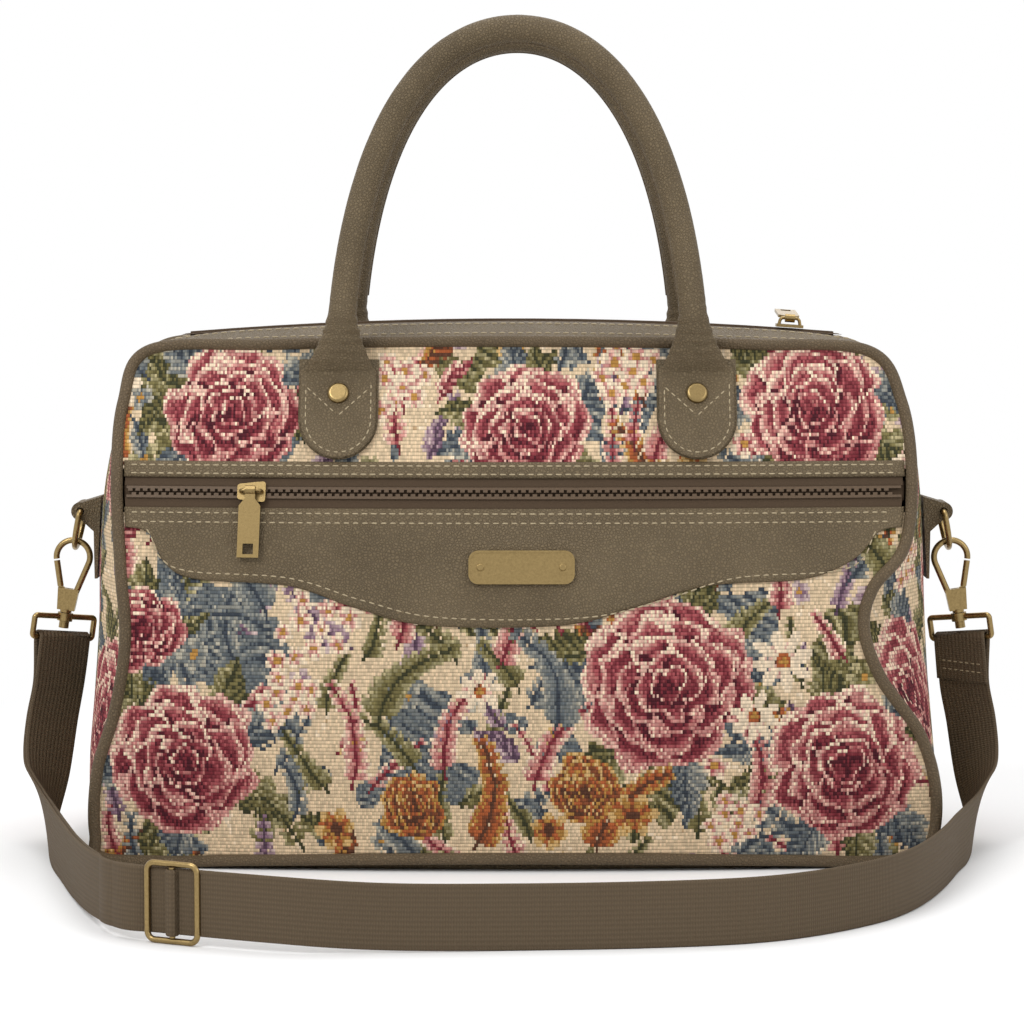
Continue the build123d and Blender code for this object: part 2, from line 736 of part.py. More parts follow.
pocket_zip_plane = front_plane(pocket_slider_x, zip_height, tooth_outer)
write(zip_slider(pocket_zip_plane), "pocket_zip_slider")
write(zip_pull(pocket_zip_plane, 5.0), "pocket_zip_pull")
top_zip_plane = Plane(origin=(top_slider_x, 0, crown_at(top_slider_x) + 0.3),
                      x_dir=(-1, 0, top_slider_x / crown_radius),
                      z_dir=(top_slider_x / crown_radius, 0, 1))
write(zip_slider(top_zip_plane), "top_zip_slider")
write(zip_pull(top_zip_plane, 5.0), "top_zip_pull")


# Side hardware, made for the right side and mirrored to the left
def doubled(half, plane):
    """Half a symmetric ring of wire and its mirror image, as one solid."""
    with BuildPart() as whole:
        add(half)
        mirror(about=plane)
    return whole.part


def write_sides(part, left_name, right_name):
    """Save a right-hand piece and its mirror image on the left."""
    write(mirror(part, about=Plane.YZ), left_name)
    write(part, right_name)


leg_inner = 227.9
leg_thickness = 1.4
leg_outer = leg_inner + leg_thickness
loop_face_points = [(leg_inner - 0.3, loop_foot), (leg_outer - 0.3, loop_foot),
                    (leg_outer, loop_height - 11),
                    (loop_reach - 0.5, loop_height - loop_outer + 0.2),
                    (loop_reach - 0.5, loop_height + loop_outer - 0.2),
                    (leg_inner - 2.4, loop_height + 8), (leg_inner - 2.6, loop_height + 4)]
with BuildPart() as loop_tab:
    with BuildSketch(Plane.XZ.offset(-loop_width / 2)):
        Polygon(*loop_face_points, align=None)
        with Locations((loop_reach, loop_height)):
            Circle(loop_outer)
            Circle(ring_wire + bar_clearance, mode=Mode.SUBTRACT)
    extrude(amount=loop_width)
write_sides(loop_tab.part, "left_loop_tab", "right_loop_tab")

tilt = math.radians(ring_tilt)
ring_plane = Plane(origin=(loop_reach, 0, loop_height), x_dir=(0, 1, 0),
                   z_dir=(-math.cos(tilt), 0, -math.sin(tilt)))
ring_bow = ring_drop - ring_half_width
with BuildLine(ring_plane) as ring_line:
    Line((0, 0), (ring_half_width - ring_corner, 0))
    RadiusArc((ring_half_width - ring_corner, 0), (ring_half_width, ring_corner), -ring_corner)
    Line((ring_half_width, ring_corner), (ring_half_width, ring_bow))
    RadiusArc((ring_half_width, ring_bow), (0, ring_drop), -ring_half_width)
half_ring = swept_tube(ring_line.wire(), ring_wire)
write_sides(doubled(half_ring, Plane.XZ), "left_d_ring", "right_d_ring")

ring_foot_x = loop_reach + ring_drop * math.sin(tilt)
ring_foot_z = loop_height - ring_drop * math.cos(tilt)
hook_apex = Vector(ring_foot_x, 0, ring_foot_z + ring_wire + hook_wire + hook_gap)
lean = math.radians(hook_tilt)
# Hook plane: local x points outwards, local y runs down the hook
hook_plane = Plane(origin=hook_apex, x_dir=(math.cos(lean), 0, math.sin(lean)), z_dir=(0, 1, 0))
arc_turn = math.atan2(hook_arc - limb_foot, limb_bottom - hook_arc)
arc_end = (hook_arc * math.cos(arc_turn), hook_arc * (1 + math.sin(arc_turn)))
block_half_top = block_top_width / 2
block_half_bottom = block_bottom_width / 2
hub_radius = 2.5


def along_limb(depth):
    """Point on the outer limb at this depth below the apex."""
    share = (depth - arc_end[1]) / (limb_bottom - arc_end[1])
    return (arc_end[0] + share * (limb_foot - arc_end[0]), depth)


with BuildLine(hook_plane) as hook_line:
    ThreePointArc(arc_end, (0, 0), (-arc_end[0], arc_end[1]))
    Line((-arc_end[0], arc_end[1]), (-limb_foot, limb_bottom + 0.5))
with BuildPart() as hook_frame:
    with BuildSketch(hook_plane.offset(-block_thickness / 2)):
        with BuildLine():
            Polyline((-block_half_top, block_top), (block_half_top, block_top),
                     (block_half_bottom, block_bottom), (-block_half_bottom, block_bottom), close=True)
        make_face()
    extrude(amount=block_thickness)
    with BuildSketch(hook_plane.offset(-slot_width / 2)):
        with BuildLine():
            Polyline((-2.2, block_top - 1), (block_half_top + 1, block_top - 1), (block_half_top + 1, 36.2),
                     (-4.1, 36.2), (-4.1, 28.8), (-2.2, 28.8), close=True)
        make_face()
    extrude(amount=slot_width, mode=Mode.SUBTRACT)
    add(swept_tube(hook_line.wire(), hook_wire))
    post_plane = Plane(origin=hook_plane.from_local_coords(Vector(0, block_bottom - 0.5, 0)),
                       x_dir=(0, 1, 0), z_dir=hook_plane.y_dir)
    with BuildSketch(post_plane):
        Circle(3.2)
    extrude(amount=collar_top - block_bottom + 0.5 - post_clearance)
    with BuildSketch(post_plane):
        Circle(post_radius)
    extrude(amount=post_head_bottom - block_bottom)
    with BuildSketch(post_plane.offset(collar_bottom - block_bottom + 0.5 + post_clearance)):
        Circle(post_head_radius)
    extrude(amount=post_head_bottom - collar_bottom - post_clearance)
    with BuildSketch(hook_plane.offset(-block_thickness)):
        with Locations((-pin_offset, pin_depth)):
            Circle(pin_radius)
    extrude(amount=2 * block_thickness, mode=Mode.SUBTRACT)
write_sides(hook_frame.part, "left_hook", "right_hook")

with BuildPart() as hook_pin:
    with BuildSketch(hook_plane.offset(-block_thickness / 2 - 0.2)):
        with Locations((-pin_offset, pin_depth)):
            Circle(pin_radius)
    extrude(amount=block_thickness + 0.4)
write_sides(hook_pin.part, "left_hook_pin", "right_hook_pin")

gate_start = gate_seam
gate_end = block_top - 0.7
with BuildPart() as gate:
    with BuildLine(hook_plane) as gate_line:
        Line(along_limb(gate_start), along_limb(gate_end))
    with BuildSketch(Plane(origin=gate_line.wire() @ 0, z_dir=gate_line.wire() % 0)):
        Circle(hook_wire)
    extrude(amount=gate_line.wire().length)
    with BuildSketch(hook_plane.offset(-gate_tongue / 2)):
        with Locations((-pin_offset, pin_depth)):
            Circle(hub_radius)
        with Locations(along_limb(gate_end + 0.6)):
            Circle(1.3)
        make_hull()
        with Locations((-pin_offset, pin_depth)):
            Circle(pin_radius + pin_clearance, mode=Mode.SUBTRACT)
    extrude(amount=gate_tongue)
write_sides(gate.part, "left_gate", "right_gate")

# Swivel eye: a wire rectangle turned about the hook's axis, with a collar for the post
turn = math.radians(eye_turn)
axis_down = hook_plane.y_dir
eye_across = hook_plane.x_dir * math.cos(turn) - Vector(0, 1, 0) * math.sin(turn)
eye_plane = Plane(origin=hook_apex, x_dir=eye_across, z_dir=eye_across.cross(axis_down))
eye_half = eye_width / 2
with BuildPart() as eye:
    for hand in (-1, 1):
        with BuildLine(eye_plane) as eye_line:
            FilletPolyline((0, eye_top), (hand * eye_half, eye_top), (hand * eye_half, eye_bottom),
                           (0, eye_bottom), radius=eye_corner)
        add(swept_tube(eye_line.wire(), eye_wire))
    collar_plane = Plane(origin=hook_apex + axis_down * collar_top, x_dir=eye_across, z_dir=axis_down)
    with BuildSketch(collar_plane):
        Circle(collar_radius)
    extrude(amount=collar_bottom - collar_top)
    with BuildSketch(collar_plane.offset(-2)):
        Circle(post_radius + post_clearance)
    extrude(amount=collar_bottom - collar_top + 3, mode=Mode.SUBTRACT)
write_sides(eye.part, "left_swivel_eye", "right_swivel_eye")

# Shoulder strap: one length of webbing, folded over both swivel eyes
eye_bar = hook_apex + axis_down * eye_bottom
bag_side = eye_across.cross(axis_down)
if bag_side.X > 0:
    bag_side = bag_side * -1
layer_step = strap_thickness + layer_gap
fold_slack = 0.4
wrap_radius = eye_wire + layer_gap + strap_thickness / 2 + fold_slack
floor = Vector(0, 0, -1)
half_strap = strap_width / 2
stand = half_strap + 0.05
# Main layer down from the right eye to the floor: place, and share of the turn onto its edge
hang = [((250.5, 4.0, 88), 0.0), ((254.5, 3.5, 66), 0.1), ((256.5, -3, 45), 0.3), ((256, -18, 29), 0.6),
        ((251, -44, 18.8), 0.85)]
right_floor = [(242, -76, 0), (234, -102, 0), (223, -140, 0), (211, -175, 0), (197, -206, 0), (178, -234, 0),
               (145, -264, 0), (110, -282, 0), (60, -292, 0), (0, -297, 0), (-60, -301, 1.0)]
left_floor = [(-112, -301, adjuster_lift), (-186, -266, adjuster_lift), (-203, -228, 2.5), (-218, -178, 0.5),
              (-231, -128, 0), (-242, -84, 0)]


def mirrored(point):
    """The same point on the other side of the bag."""
    return Vector(-point.X, point.Y, point.Z)


def hanging(side, lift):
    """Stations from the eye to the floor on one side, shifted away from the bag by lift."""
    stations = []
    for place, share in hang:
        spot = Vector(*place)
        across = eye_across * -(1 - share) + floor * share
        outward = bag_side * -1 * (1 - share) + Vector(1, 0.1, 0) * share
        spot = spot + outward.normalized() * lift
        if side < 0:
            spot = mirrored(spot)
            across = mirrored(across)
        stations.append((spot, across))
    return stations


def wrap(side):
    """Stations of the fold over the eye's lower bar, from the bag's side to the outer side."""
    stations = []
    for angle in (0, 45, 90, 135, 180):
        turn_angle = math.radians(angle)
        arm = bag_side * math.cos(turn_angle) - axis_down * math.sin(turn_angle)
        spot = eye_bar + arm * wrap_radius
        across = eye_across * -1
        if side < 0:
            spot = mirrored(spot)
            across = mirrored(across)
        stations.append((spot, across))
    return stations


floor_stations = [((x, y, stand + lift), floor) for x, y, lift in right_floor + left_floor]
return_floor = []
left_run = left_floor[::-1]
for index, (x, y, lift) in enumerate(left_run[:-1]):
    before = Vector(*left_run[max(index - 1, 0)][:2])
    after = Vector(*left_run[index + 1][:2])
    heading = (after - before).normalized()
    outward = Vector(heading.Y, -heading.X)
    if outward.dot(Vector(x, y + 120)) < 0:
        outward = outward * -1
    return_floor.append(((x + outward.X * layer_step, y + outward.Y * layer_step, stand + lift), floor))
straight = Vector(*left_floor[0][:2]) - Vector(*left_floor[1][:2])
adjuster_x = -159.0
adjuster_share = (adjuster_x - left_floor[1][0]) / straight.X
run_heading = straight.normalized()
run_outward = Vector(run_heading.Y, -run_heading.X)
adjuster_spot = Vector(*left_floor[1][:2]) + straight * adjuster_share
layer_end = adjuster_spot - run_heading * 9.5 + run_outward * layer_step
return_floor.append(((layer_end.X, layer_end.Y, stand + adjuster_lift), floor))

tail = hanging(1, -layer_step)[0]
strap_stations = [tail] + wrap(1) + hanging(1, 0) + floor_stations + hanging(-1, 0)[::-1]
strap_stations += wrap(-1) + hanging(-1, layer_step) + return_floor
write(band(strap_stations, strap_width, strap_thickness), "shoulder_strap")

# Strap adjuster: a wire frame with a centre bar, and the strap's sewn end round that bar
adjuster_reach = strap_thickness / 2 + layer_gap + strap_thickness + layer_gap + adjuster_wire
adjuster_centre = adjuster_spot + run_outward * adjuster_reach
adjuster_origin = Vector(adjuster_centre.X, adjuster_centre.Y, adjuster_height / 2 + 0.1)
adjuster_plane = Plane(origin=adjuster_origin, x_dir=run_heading, z_dir=run_outward)
frame_half_width = adjuster_width / 2 - adjuster_wire
frame_half_height = adjuster_height / 2 - adjuster_wire
frame_corner = 4.0
with BuildPart() as adjuster_frame:
    for hand in (-1, 1):
        with BuildLine(adjuster_plane) as frame_line:
            FilletPolyline((0, frame_half_height), (hand * frame_half_width, frame_half_height),
                           (hand * frame_half_width, -frame_half_height), (0, -frame_half_height),
                           radius=frame_corner)
        add(swept_tube(frame_line.wire(), adjuster_wire))
write(adjuster_frame.part, "adjuster_frame")

bar_half = frame_half_height - adjuster_wire - 0.05
bar_plane = Plane(origin=adjuster_origin - Vector(0, 0, bar_half), x_dir=run_heading, z_dir=(0, 0, 1))
with BuildPart() as adjuster_bar:
    with BuildSketch(bar_plane):
        Circle(adjuster_wire)
    extrude(amount=2 * bar_half)
write(adjuster_bar.part, "adjuster_bar")

loop_bore = adjuster_wire + 0.15
with BuildPart() as end_loop:
    with BuildSketch(bar_plane.offset(bar_half - half_strap)):
        Circle(loop_bore + end_loop_wall)
        Circle(loop_bore, mode=Mode.SUBTRACT)
    extrude(amount=strap_width)
write(end_loop.part, "strap_end_loop")
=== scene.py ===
"""Looks of the tapestry carpet bag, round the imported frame."""
import math
import bpy
import numpy as np
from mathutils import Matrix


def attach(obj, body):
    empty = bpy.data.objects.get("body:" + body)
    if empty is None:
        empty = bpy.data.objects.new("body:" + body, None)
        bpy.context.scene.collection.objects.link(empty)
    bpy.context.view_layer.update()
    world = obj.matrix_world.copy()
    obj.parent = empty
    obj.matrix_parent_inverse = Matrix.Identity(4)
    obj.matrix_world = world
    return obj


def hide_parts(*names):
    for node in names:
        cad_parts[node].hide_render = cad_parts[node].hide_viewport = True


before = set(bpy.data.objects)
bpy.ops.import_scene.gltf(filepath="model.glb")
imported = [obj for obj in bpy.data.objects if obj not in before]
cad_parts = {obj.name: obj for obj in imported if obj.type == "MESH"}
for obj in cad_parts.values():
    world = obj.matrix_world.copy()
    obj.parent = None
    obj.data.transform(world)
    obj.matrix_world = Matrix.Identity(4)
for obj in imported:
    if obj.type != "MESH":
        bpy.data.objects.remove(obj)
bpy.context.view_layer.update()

MM = 0.001
# Sizes in millimetres, as in the frame
BAG_HEIGHT = 288.0
PANEL_TOP = 275.0
BELLY_HEIGHT = 80.0
BELLY_DEPTH = 107.0
SHOULDER_DEPTH = 53.0
FRONT_BOW = 1400.0
CROWN_RADIUS = 2200.0
PIPING_RADIUS = 3.25
SEAM_GAP = 0.7
PANEL_INSET = PIPING_RADIUS + SEAM_GAP
TRIM_OUTER = 1.9
BINDING = (206.7, 215.0)
ZIP_HEIGHT = 199.0
YOKE_TOP = 191.0
YOKE_EDGE = [(0, 131), (38, 131), (80, 140), (118, 151), (170, 154), (188, 162), (197, 178), (215, 181)]
HANDLE_OFFSET = 3.0
HANDLE_SPREAD = 95.0
HANDLE_FOOT = 290.0
HANDLE_PEAK = 443.0
HANDLE_FOOT_DEPTH = 66.0
HANDLE_LEAN = 16.0
HANDLE_RADIUS = 7.5
GRIP_FOOT_HALF, GRIP_BEND_HALF, GRIP_CROWN_HALF = 93.0, 83.5, 45.0
GRIP_BEND_DROP = 48
TAB_HALF = 20.5
TAB_BOTTOM = 217.0
TAB_SKIN = 4.35
LEFT_SIDE = [(-194, 272.5), (-207.5, 245), (-209.5, 205), (-206.5, 160), (-203.5, 122),
             (-209, 85), (-219, 52), (-221, 18), (-213, 3.6)]
RIGHT_SIDE = [(213, 3.6), (223, 15), (224, 42), (215, 72), (194, 102), (185, 128), (190, 149),
              (207, 170), (212, 205), (208, 245), (191, 272)]
BOTTOM_EDGE = [(-140, 5.0), (-70, 6.5), (0, 7.0), (70, 6.5), (140, 5.0)]
TOP_EDGE = [(130, 275.6), (65, 277.0), (0, 277.5), (-65, 277.0), (-130, 275.6)]
HIDE_THICKNESS = 1.8
STRIP_THICKNESS = 2.0
BACKING_THICKNESS = 0.5
ZIP_HALF = 178
# One stitch of the woven cloth
STITCH_WIDTH = 1.05
ROW_HEIGHT = 1.9

# Colours as seen, 0 to 255
LEATHER = (116, 101, 77)
LEATHER_DARK = (82, 70, 52)
WEBBING = (98, 83, 64)
THREAD = (176, 160, 130)
ZIP_CLOTH = (78, 62, 46)
ZIP_COIL = (92, 74, 56)
CREAM, PALE, TAN = (233, 214, 180), (246, 233, 208), (206, 176, 134)
WINE, DARK_WINE, ROSE = (128, 42, 56), (86, 28, 42), (178, 84, 94)
PINK, BLUSH = (216, 150, 148), (238, 196, 184)
SLATE, DARK_SLATE, MIST = (94, 108, 120), (62, 74, 90), (146, 154, 152)
OLIVE, DARK_OLIVE, SAGE = (104, 100, 58), (64, 68, 44), (152, 150, 108)
OCHRE, ORANGE, BROWN, LILAC = (196, 146, 66), (188, 98, 52), (98, 62, 46), (142, 112, 142)


def linear(colour):
    """Display colour to linear light."""
    values = np.array(colour, float) / 255
    return np.where(values <= 0.04045, values / 12.92, ((values + 0.055) / 1.055) ** 2.4)


def rgba(colour, gain=1.0):
    return (*[float(v) * gain for v in linear(colour)], 1.0)


# Shape of the bag
def depth_at(z):
    """Half the bag's depth at a height."""
    share = (z - BELLY_HEIGHT) / (PANEL_TOP - BELLY_HEIGHT)
    return BELLY_DEPTH - (BELLY_DEPTH - SHOULDER_DEPTH) * share**2


def front(x, z, lift=0.0):
    """Points on the bag's front, raised by lift."""
    x, z, lift = np.broadcast_arrays(x, z, lift)
    reach = FRONT_BOW + depth_at(z) + lift
    return np.stack([x, FRONT_BOW - np.sqrt(reach**2 - x**2), z], -1)


def smooth_path(points, closed=False, step=2.0):
    """Rounded curve through points, evenly stepped."""
    points = np.array(points, float)
    ends = (points[-1], points[:2]) if closed else (2 * points[0] - points[1], 2 * points[-1] - points[-2])
    padded = np.vstack([ends[0], points, ends[1]])
    fine = []
    for a, b, c, d in zip(padded, padded[1:], padded[2:], padded[3:]):
        t = np.linspace(0, 1, 24, endpoint=False)[:, None]
        fine.append(0.5 * (2 * b + (c - a) * t + (2 * a - 5 * b + 4 * c - d) * t**2
                           + (3 * b - a - 3 * c + d) * t**3))
    fine = np.vstack(fine + [points[:1] if closed else points[-1:]])
    return even(fine, step)


def run_along(path):
    """Distance along a path to each of its points."""
    return np.r_[0, np.cumsum(np.linalg.norm(np.diff(path, axis=0), axis=1))]


def even(path, step):
    """The same path with points every step."""
    run = run_along(path)
    count = max(2, int(run[-1] / step) + 1)
    where = np.linspace(0, run[-1], count)
    return np.stack([np.interp(where, run, path[:, k]) for k in range(path.shape[1])], -1)


# Seam of the front, as x and height; the piping on it stays clear of the floor
OUTLINE = smooth_path(TOP_EDGE + LEFT_SIDE + BOTTOM_EDGE + RIGHT_SIDE, closed=True)
OUTLINE[:, 1] = np.maximum(OUTLINE[:, 1], PIPING_RADIUS + 0.1)


def inside(x, z, polygon):
    """Which points lie inside a closed outline."""
    result = np.zeros(np.shape(x), bool)
    for (x1, z1), (x2, z2) in zip(polygon[:-1], polygon[1:]):
        crosses = (z1 > z) != (z2 > z)
        result ^= crosses & (x < (x2 - x1) * (z - z1) / (z2 - z1 + 1e-12) + x1)
    return result


NOISE_CELLS = 64


def noise(x, z, size, seed):
    """Smooth random field between 0 and 1."""
    grid = np.random.default_rng(seed).random((NOISE_CELLS, NOISE_CELLS))
    u, v = (x / size) % NOISE_CELLS, (z / size) % NOISE_CELLS
    i, j = np.minimum(u.astype(int), NOISE_CELLS - 1), np.minimum(v.astype(int), NOISE_CELLS - 1)
    s, t = u - i, v - j
    s, t = s * s * (3 - 2 * s), t * t * (3 - 2 * t)
    i2, j2 = (i + 1) % NOISE_CELLS, (j + 1) % NOISE_CELLS
    near = grid[i, j] * (1 - s) + grid[i2, j] * s
    far = grid[i, j2] * (1 - s) + grid[i2, j2] * s
    return near * (1 - t) + far * t


# Woven picture, painted motif by motif
CLOTH_HALF = 345.0
CLOTH_FOOT, CLOTH_TOP = -8.0, 296.0
WARP, WARP_SIZE = 6.0, 8
CLOTH_X = np.arange(-CLOTH_HALF, CLOTH_HALF, STITCH_WIDTH) + STITCH_WIDTH / 2
CLOTH_Z = np.arange(CLOTH_FOOT, CLOTH_TOP, ROW_HEIGHT) + ROW_HEIGHT / 2
GX, GZ = np.meshgrid(CLOTH_X, CLOTH_Z, indexing="ij")
cloth = np.zeros(GX.shape + (3,)) + np.array(CREAM)
NX = GX + 400  # positive, for the noise
warped_x = GX + WARP * (noise(NX, GZ, WARP_SIZE, 11) - 0.5)
warped_z = GZ + WARP * (noise(NX, GZ, WARP_SIZE, 12) - 0.5)
columns, rows = np.meshgrid(np.arange(len(CLOTH_X)), np.arange(len(CLOTH_Z)), indexing="ij")
loose = np.random.default_rng(5).random(GX.shape)
# Ordered and loose dither together give the combed edges of a woven picture
dither = 0.5 * (((columns // 2 + rows) % 2) * 0.6 + (columns % 2) * 0.4) + 0.5 * loose - 0.5

ROSE_TONES = [DARK_WINE, WINE, (146, 58, 70), ROSE, (198, 122, 122), PINK, BLUSH, PALE]
PINK_TONES = [WINE, (160, 72, 82), ROSE, (206, 132, 128), PINK, BLUSH, PALE, PALE]
GREEN_TONES = [DARK_OLIVE, OLIVE, (128, 124, 76), SAGE, (190, 184, 140)]
BLUE_TONES = [DARK_SLATE, SLATE, (116, 128, 134), MIST, (182, 184, 172)]
RUST_TONES = [BROWN, (142, 78, 48), ORANGE, OCHRE, (222, 188, 122)]
LILAC_TONES = [(92, 70, 96), LILAC, (170, 146, 164), (208, 190, 196)]


class Patch:
    """Part of the cloth round a motif, in the motif's own turned coordinates."""

    def __init__(self, cx, cz, reach, angle=0.0, wobble=1.0):
        i0, i1 = np.searchsorted(CLOTH_X, (cx - reach, cx + reach))
        j0, j1 = np.searchsorted(CLOTH_Z, (cz - reach, cz + reach))
        self.where = (slice(i0, i1), slice(j0, j1))
        x = (warped_x[self.where] * wobble + GX[self.where] * (1 - wobble)) - cx
        z = (warped_z[self.where] * wobble + GZ[self.where] * (1 - wobble)) - cz
        turn = math.radians(angle)
        self.u = x * math.cos(turn) + z * math.sin(turn)
        self.v = -x * math.sin(turn) + z * math.cos(turn)
        self.dither = dither[self.where]

    def tone(self, mask, value, tones, spread=0.32):
        """Colour the mask by a value from 0, darkest, to 1, lightest."""
        level = np.clip((value + spread * self.dither) * len(tones), 0, len(tones) - 1).astype(int)
        cloth[self.where][mask] = np.array(tones, float)[level[mask]]


def polar(cx, cz, reach, degrees):
    """Point at a distance and an angle from a centre."""
    turn = math.radians(degrees)
    return cx + reach * math.cos(turn), cz + reach * math.sin(turn)


def leaf(cx, cz, length, width, angle, tones):
    """Leaf with a midrib and veins, its root at the centre given."""
    p = Patch(cx, cz, length + 4, angle)
    share = np.clip(p.u / length, 0, 1)
    edge = width / 2 * np.sin(np.pi * share**0.8) * (1 + 0.16 * np.sin(p.u * 1.3))
    body = (p.u > 0) & (p.u < length) & (np.abs(p.v) < edge)
    vein = np.sin(p.u * 1.1 - np.abs(p.v) * 1.3)
    p.tone(body, 0.45 + 0.3 * p.v / (edge + 0.1) + 0.22 * vein, tones)
    p.tone(body & (np.abs(p.v) < 0.75), 0.1, tones)


def petal(cx, cz, size, angle, tones, bright=0.0):
    """Cupped petal with a light rim and a dark foot."""
    p = Patch(cx, cz, size * 1.3, angle)
    span = np.hypot(p.u / (0.92 * size), p.v / (1.08 * size))
    body = span < 1 + 0.1 * np.sin(3.1 * np.arctan2(p.v, p.u) + cx)
    value = 0.29 + 0.3 * p.u / size + bright + 0.13 * np.sin(span * 9 + p.v / size * 2)
    rim = body & (span > 0.82) & (p.u > -0.1 * size)
    p.tone(body, value, tones)
    p.tone(rim, 0.8 + bright, tones, 0.45)
    p.tone(body & (span > 0.93) & (p.u < 0.2 * size), 0.05, tones)


# Petals in a rose's rings: count, distance from the centre and size, as shares of its radius
PETAL_RINGS = ((8, 0.66, 0.42), (7, 0.46, 0.4), (6, 0.3, 0.33), (4, 0.16, 0.26), (3, 0.07, 0.16))


def rose(cx, cz, radius, angle, tones=ROSE_TONES):
    """Full-blown rose of petals laid from the outside in."""
    random = np.random.default_rng(int(abs(cx) * 7 + cz))
    for count, reach, size in PETAL_RINGS:
        start = angle + random.uniform(0, 360 / count)
        for index in range(count):
            turn = start + index * 360 / count + random.uniform(-9, 9)
            lit = 0.1 * math.cos(math.radians(turn) - 2.0) - 0.04
            petal(*polar(cx, cz, radius * reach, turn), radius * size * random.uniform(0.88, 1.12),
                  turn, tones, lit)
    p = Patch(cx, cz, radius * 0.2, 0)
    p.tone(np.hypot(p.u, p.v) < radius * 0.07, 0.1, tones)


def blossom(cx, cz, radius, angle, tones, heart, count=5):
    """Small open flower."""
    p = Patch(cx, cz, radius + 2, angle, 0.5)
    span = np.hypot(p.u, p.v) / radius
    turn = np.arctan2(p.v, p.u)
    body = span < 0.64 + 0.36 * np.abs(np.cos(count * turn / 2))
    p.tone(body, 0.25 + 0.75 * span - 0.35 * (np.abs(np.sin(count * turn / 2)) > 0.86), tones)
    p.tone(span < 0.27, 0.5, [heart])


def spray(cx, cz, length, angle, bend, pairs, size, tones, slim=0.24):
    """Curving stem with pairs of leaflets or buds."""
    heading = math.radians(angle)
    x, z = cx, cz
    for index in range(pairs):
        step = length / pairs
        stem = Patch(x, z, step + 2, math.degrees(heading), 0.3)
        stalk = (stem.u > -0.5) & (stem.u < step) & (np.abs(stem.v) < 0.8)
        stem.tone(stalk, 0.0, tones)
        x, z = x + step * math.cos(heading), z + step * math.sin(heading)
        fade = size * (1 - 0.6 * index / pairs)
        for hand in (-1, 1):
            p = Patch(x, z, fade + 2, math.degrees(heading) + hand * 50, 0.4)
            share = np.clip(p.u / fade, 0, 1)
            body = (p.u > 0) & (p.u < fade) & (np.abs(p.v) < fade * slim * np.sin(np.pi * share) + 0.6)
            p.tone(body, 0.2 + 0.7 * share, tones)
        heading += math.radians(bend)


GOLDEN_ANGLE = 2.39996


def cluster(cx, cz, radius, count, tones, heart, seed):
    """Round head of small blossoms."""
    random = np.random.default_rng(seed)
    for index in range(count):
        reach = radius * math.sqrt((index + 0.5) / count)
        turn = index * GOLDEN_ANGLE
        blossom(cx + reach * math.cos(turn), cz + reach * math.sin(turn) * 0.9, random.uniform(5.0, 7.5),
                random.uniform(0, 70), tones, heart)


def daisy(cx, cz, radius, angle):
    """Eight pale petals round a golden heart."""
    p = Patch(cx, cz, radius + 2, angle, 0.4)
    span = np.hypot(p.u, p.v) / radius
    lobes = np.abs(np.cos(4 * np.arctan2(p.v, p.u)))
    p.tone(span < 0.45 + 0.55 * lobes, 0.35 + 0.65 * lobes, [PINK, BLUSH, PALE, PALE])
    p.tone(span < 0.26, 1 - 2.5 * span, [BROWN, ORANGE, OCHRE])


# The layout: centre x, centre height, radius and angle, or what the comment says
ROSES = [(-172, 60, 38, 10), (82, 100, 44, 60), (176, 56, 39, -30), (-148, 240, 35, 80), (8, 232, 32, 20),
         (160, 242, 37, 140), (-300, 92, 39, 0), (-290, 226, 35, 40), (298, 80, 39, 30), (296, 218, 35, 90),
         (-234, 150, 25, 0), (238, 146, 26, 120), (-196, 128, 22, 30)]
# Foot x, foot height, angle and bend
PINK_SPRAYS = [(-84, 44, 75, 5), (-34, 50, 100, -6), (-8, 108, 60, 5), (12, 44, 80, -5),
               (-60, 118, 70, 4), (42, 128, 115, -5), (126, 30, 60, 8), (140, 134, 80, 5)]
FERNS = [(-70, 78, 80, -7, GREEN_TONES), (22, 74, 70, 8, BLUE_TONES), (-20, 12, 55, 6, RUST_TONES),
         (-128, 134, 110, 5, BLUE_TONES), (204, 140, 100, 6, GREEN_TONES), (-44, 150, 65, 5, RUST_TONES),
         (110, 156, 90, 4, GREEN_TONES), (44, 8, 75, -5, RUST_TONES)]
SMALL_ROSES = [(-52, 34, 17, 40, RUST_TONES), (38, 44, 18, 10, RUST_TONES), (-120, 168, 15, 0, PINK_TONES)]
# Centre, radius and seed
CLUSTERS = [(-104, 128, 21, 2), (-118, 92, 15, 3), (60, 262, 17, 4), (-62, 254, 17, 5),
            (-206, 200, 15, 6), (216, 212, 15, 7), (116, 26, 15, 8), (-290, 160, 15, 9)]
DAISIES = [(142, 112, 17, 12), (128, 82, 14, 30), (-212, 256, 15, 0), (-16, 96, 12, 8)]
RUST_BLOSSOMS = [(64, 30, 13, 0), (20, 22, 11, 40), (98, 222, 12, 50), (-92, 22, 11, 70), (208, 108, 11, 5),
                 (-24, 190, 11, 5)]
FILLER_TONES = (GREEN_TONES, BLUE_TONES, RUST_TONES, PINK_TONES, GREEN_TONES, BLUE_TONES, LILAC_TONES)


def weave_ground():
    """Hatched patches of blue, green and cream."""
    everywhere = Patch(0, 144, 400)
    field = noise(NX, GZ, 44, 7) + 0.4 * noise(NX, GZ, 13, 8)
    hatch = np.sin(GX * 0.5 + GZ * 0.9 + 16 * noise(NX, GZ, 17, 9)) * noise(NX, GZ, 9, 10) * 1.6
    everywhere.tone(field > 0.95, 0.4 + 0.3 * hatch, BLUE_TONES)
    everywhere.tone(field < 0.42, 0.45 + 0.3 * hatch, GREEN_TONES)
    everywhere.tone((field > 0.62) & (field < 0.66), 0.6 + 0.3 * hatch, [TAN, CREAM, PALE])


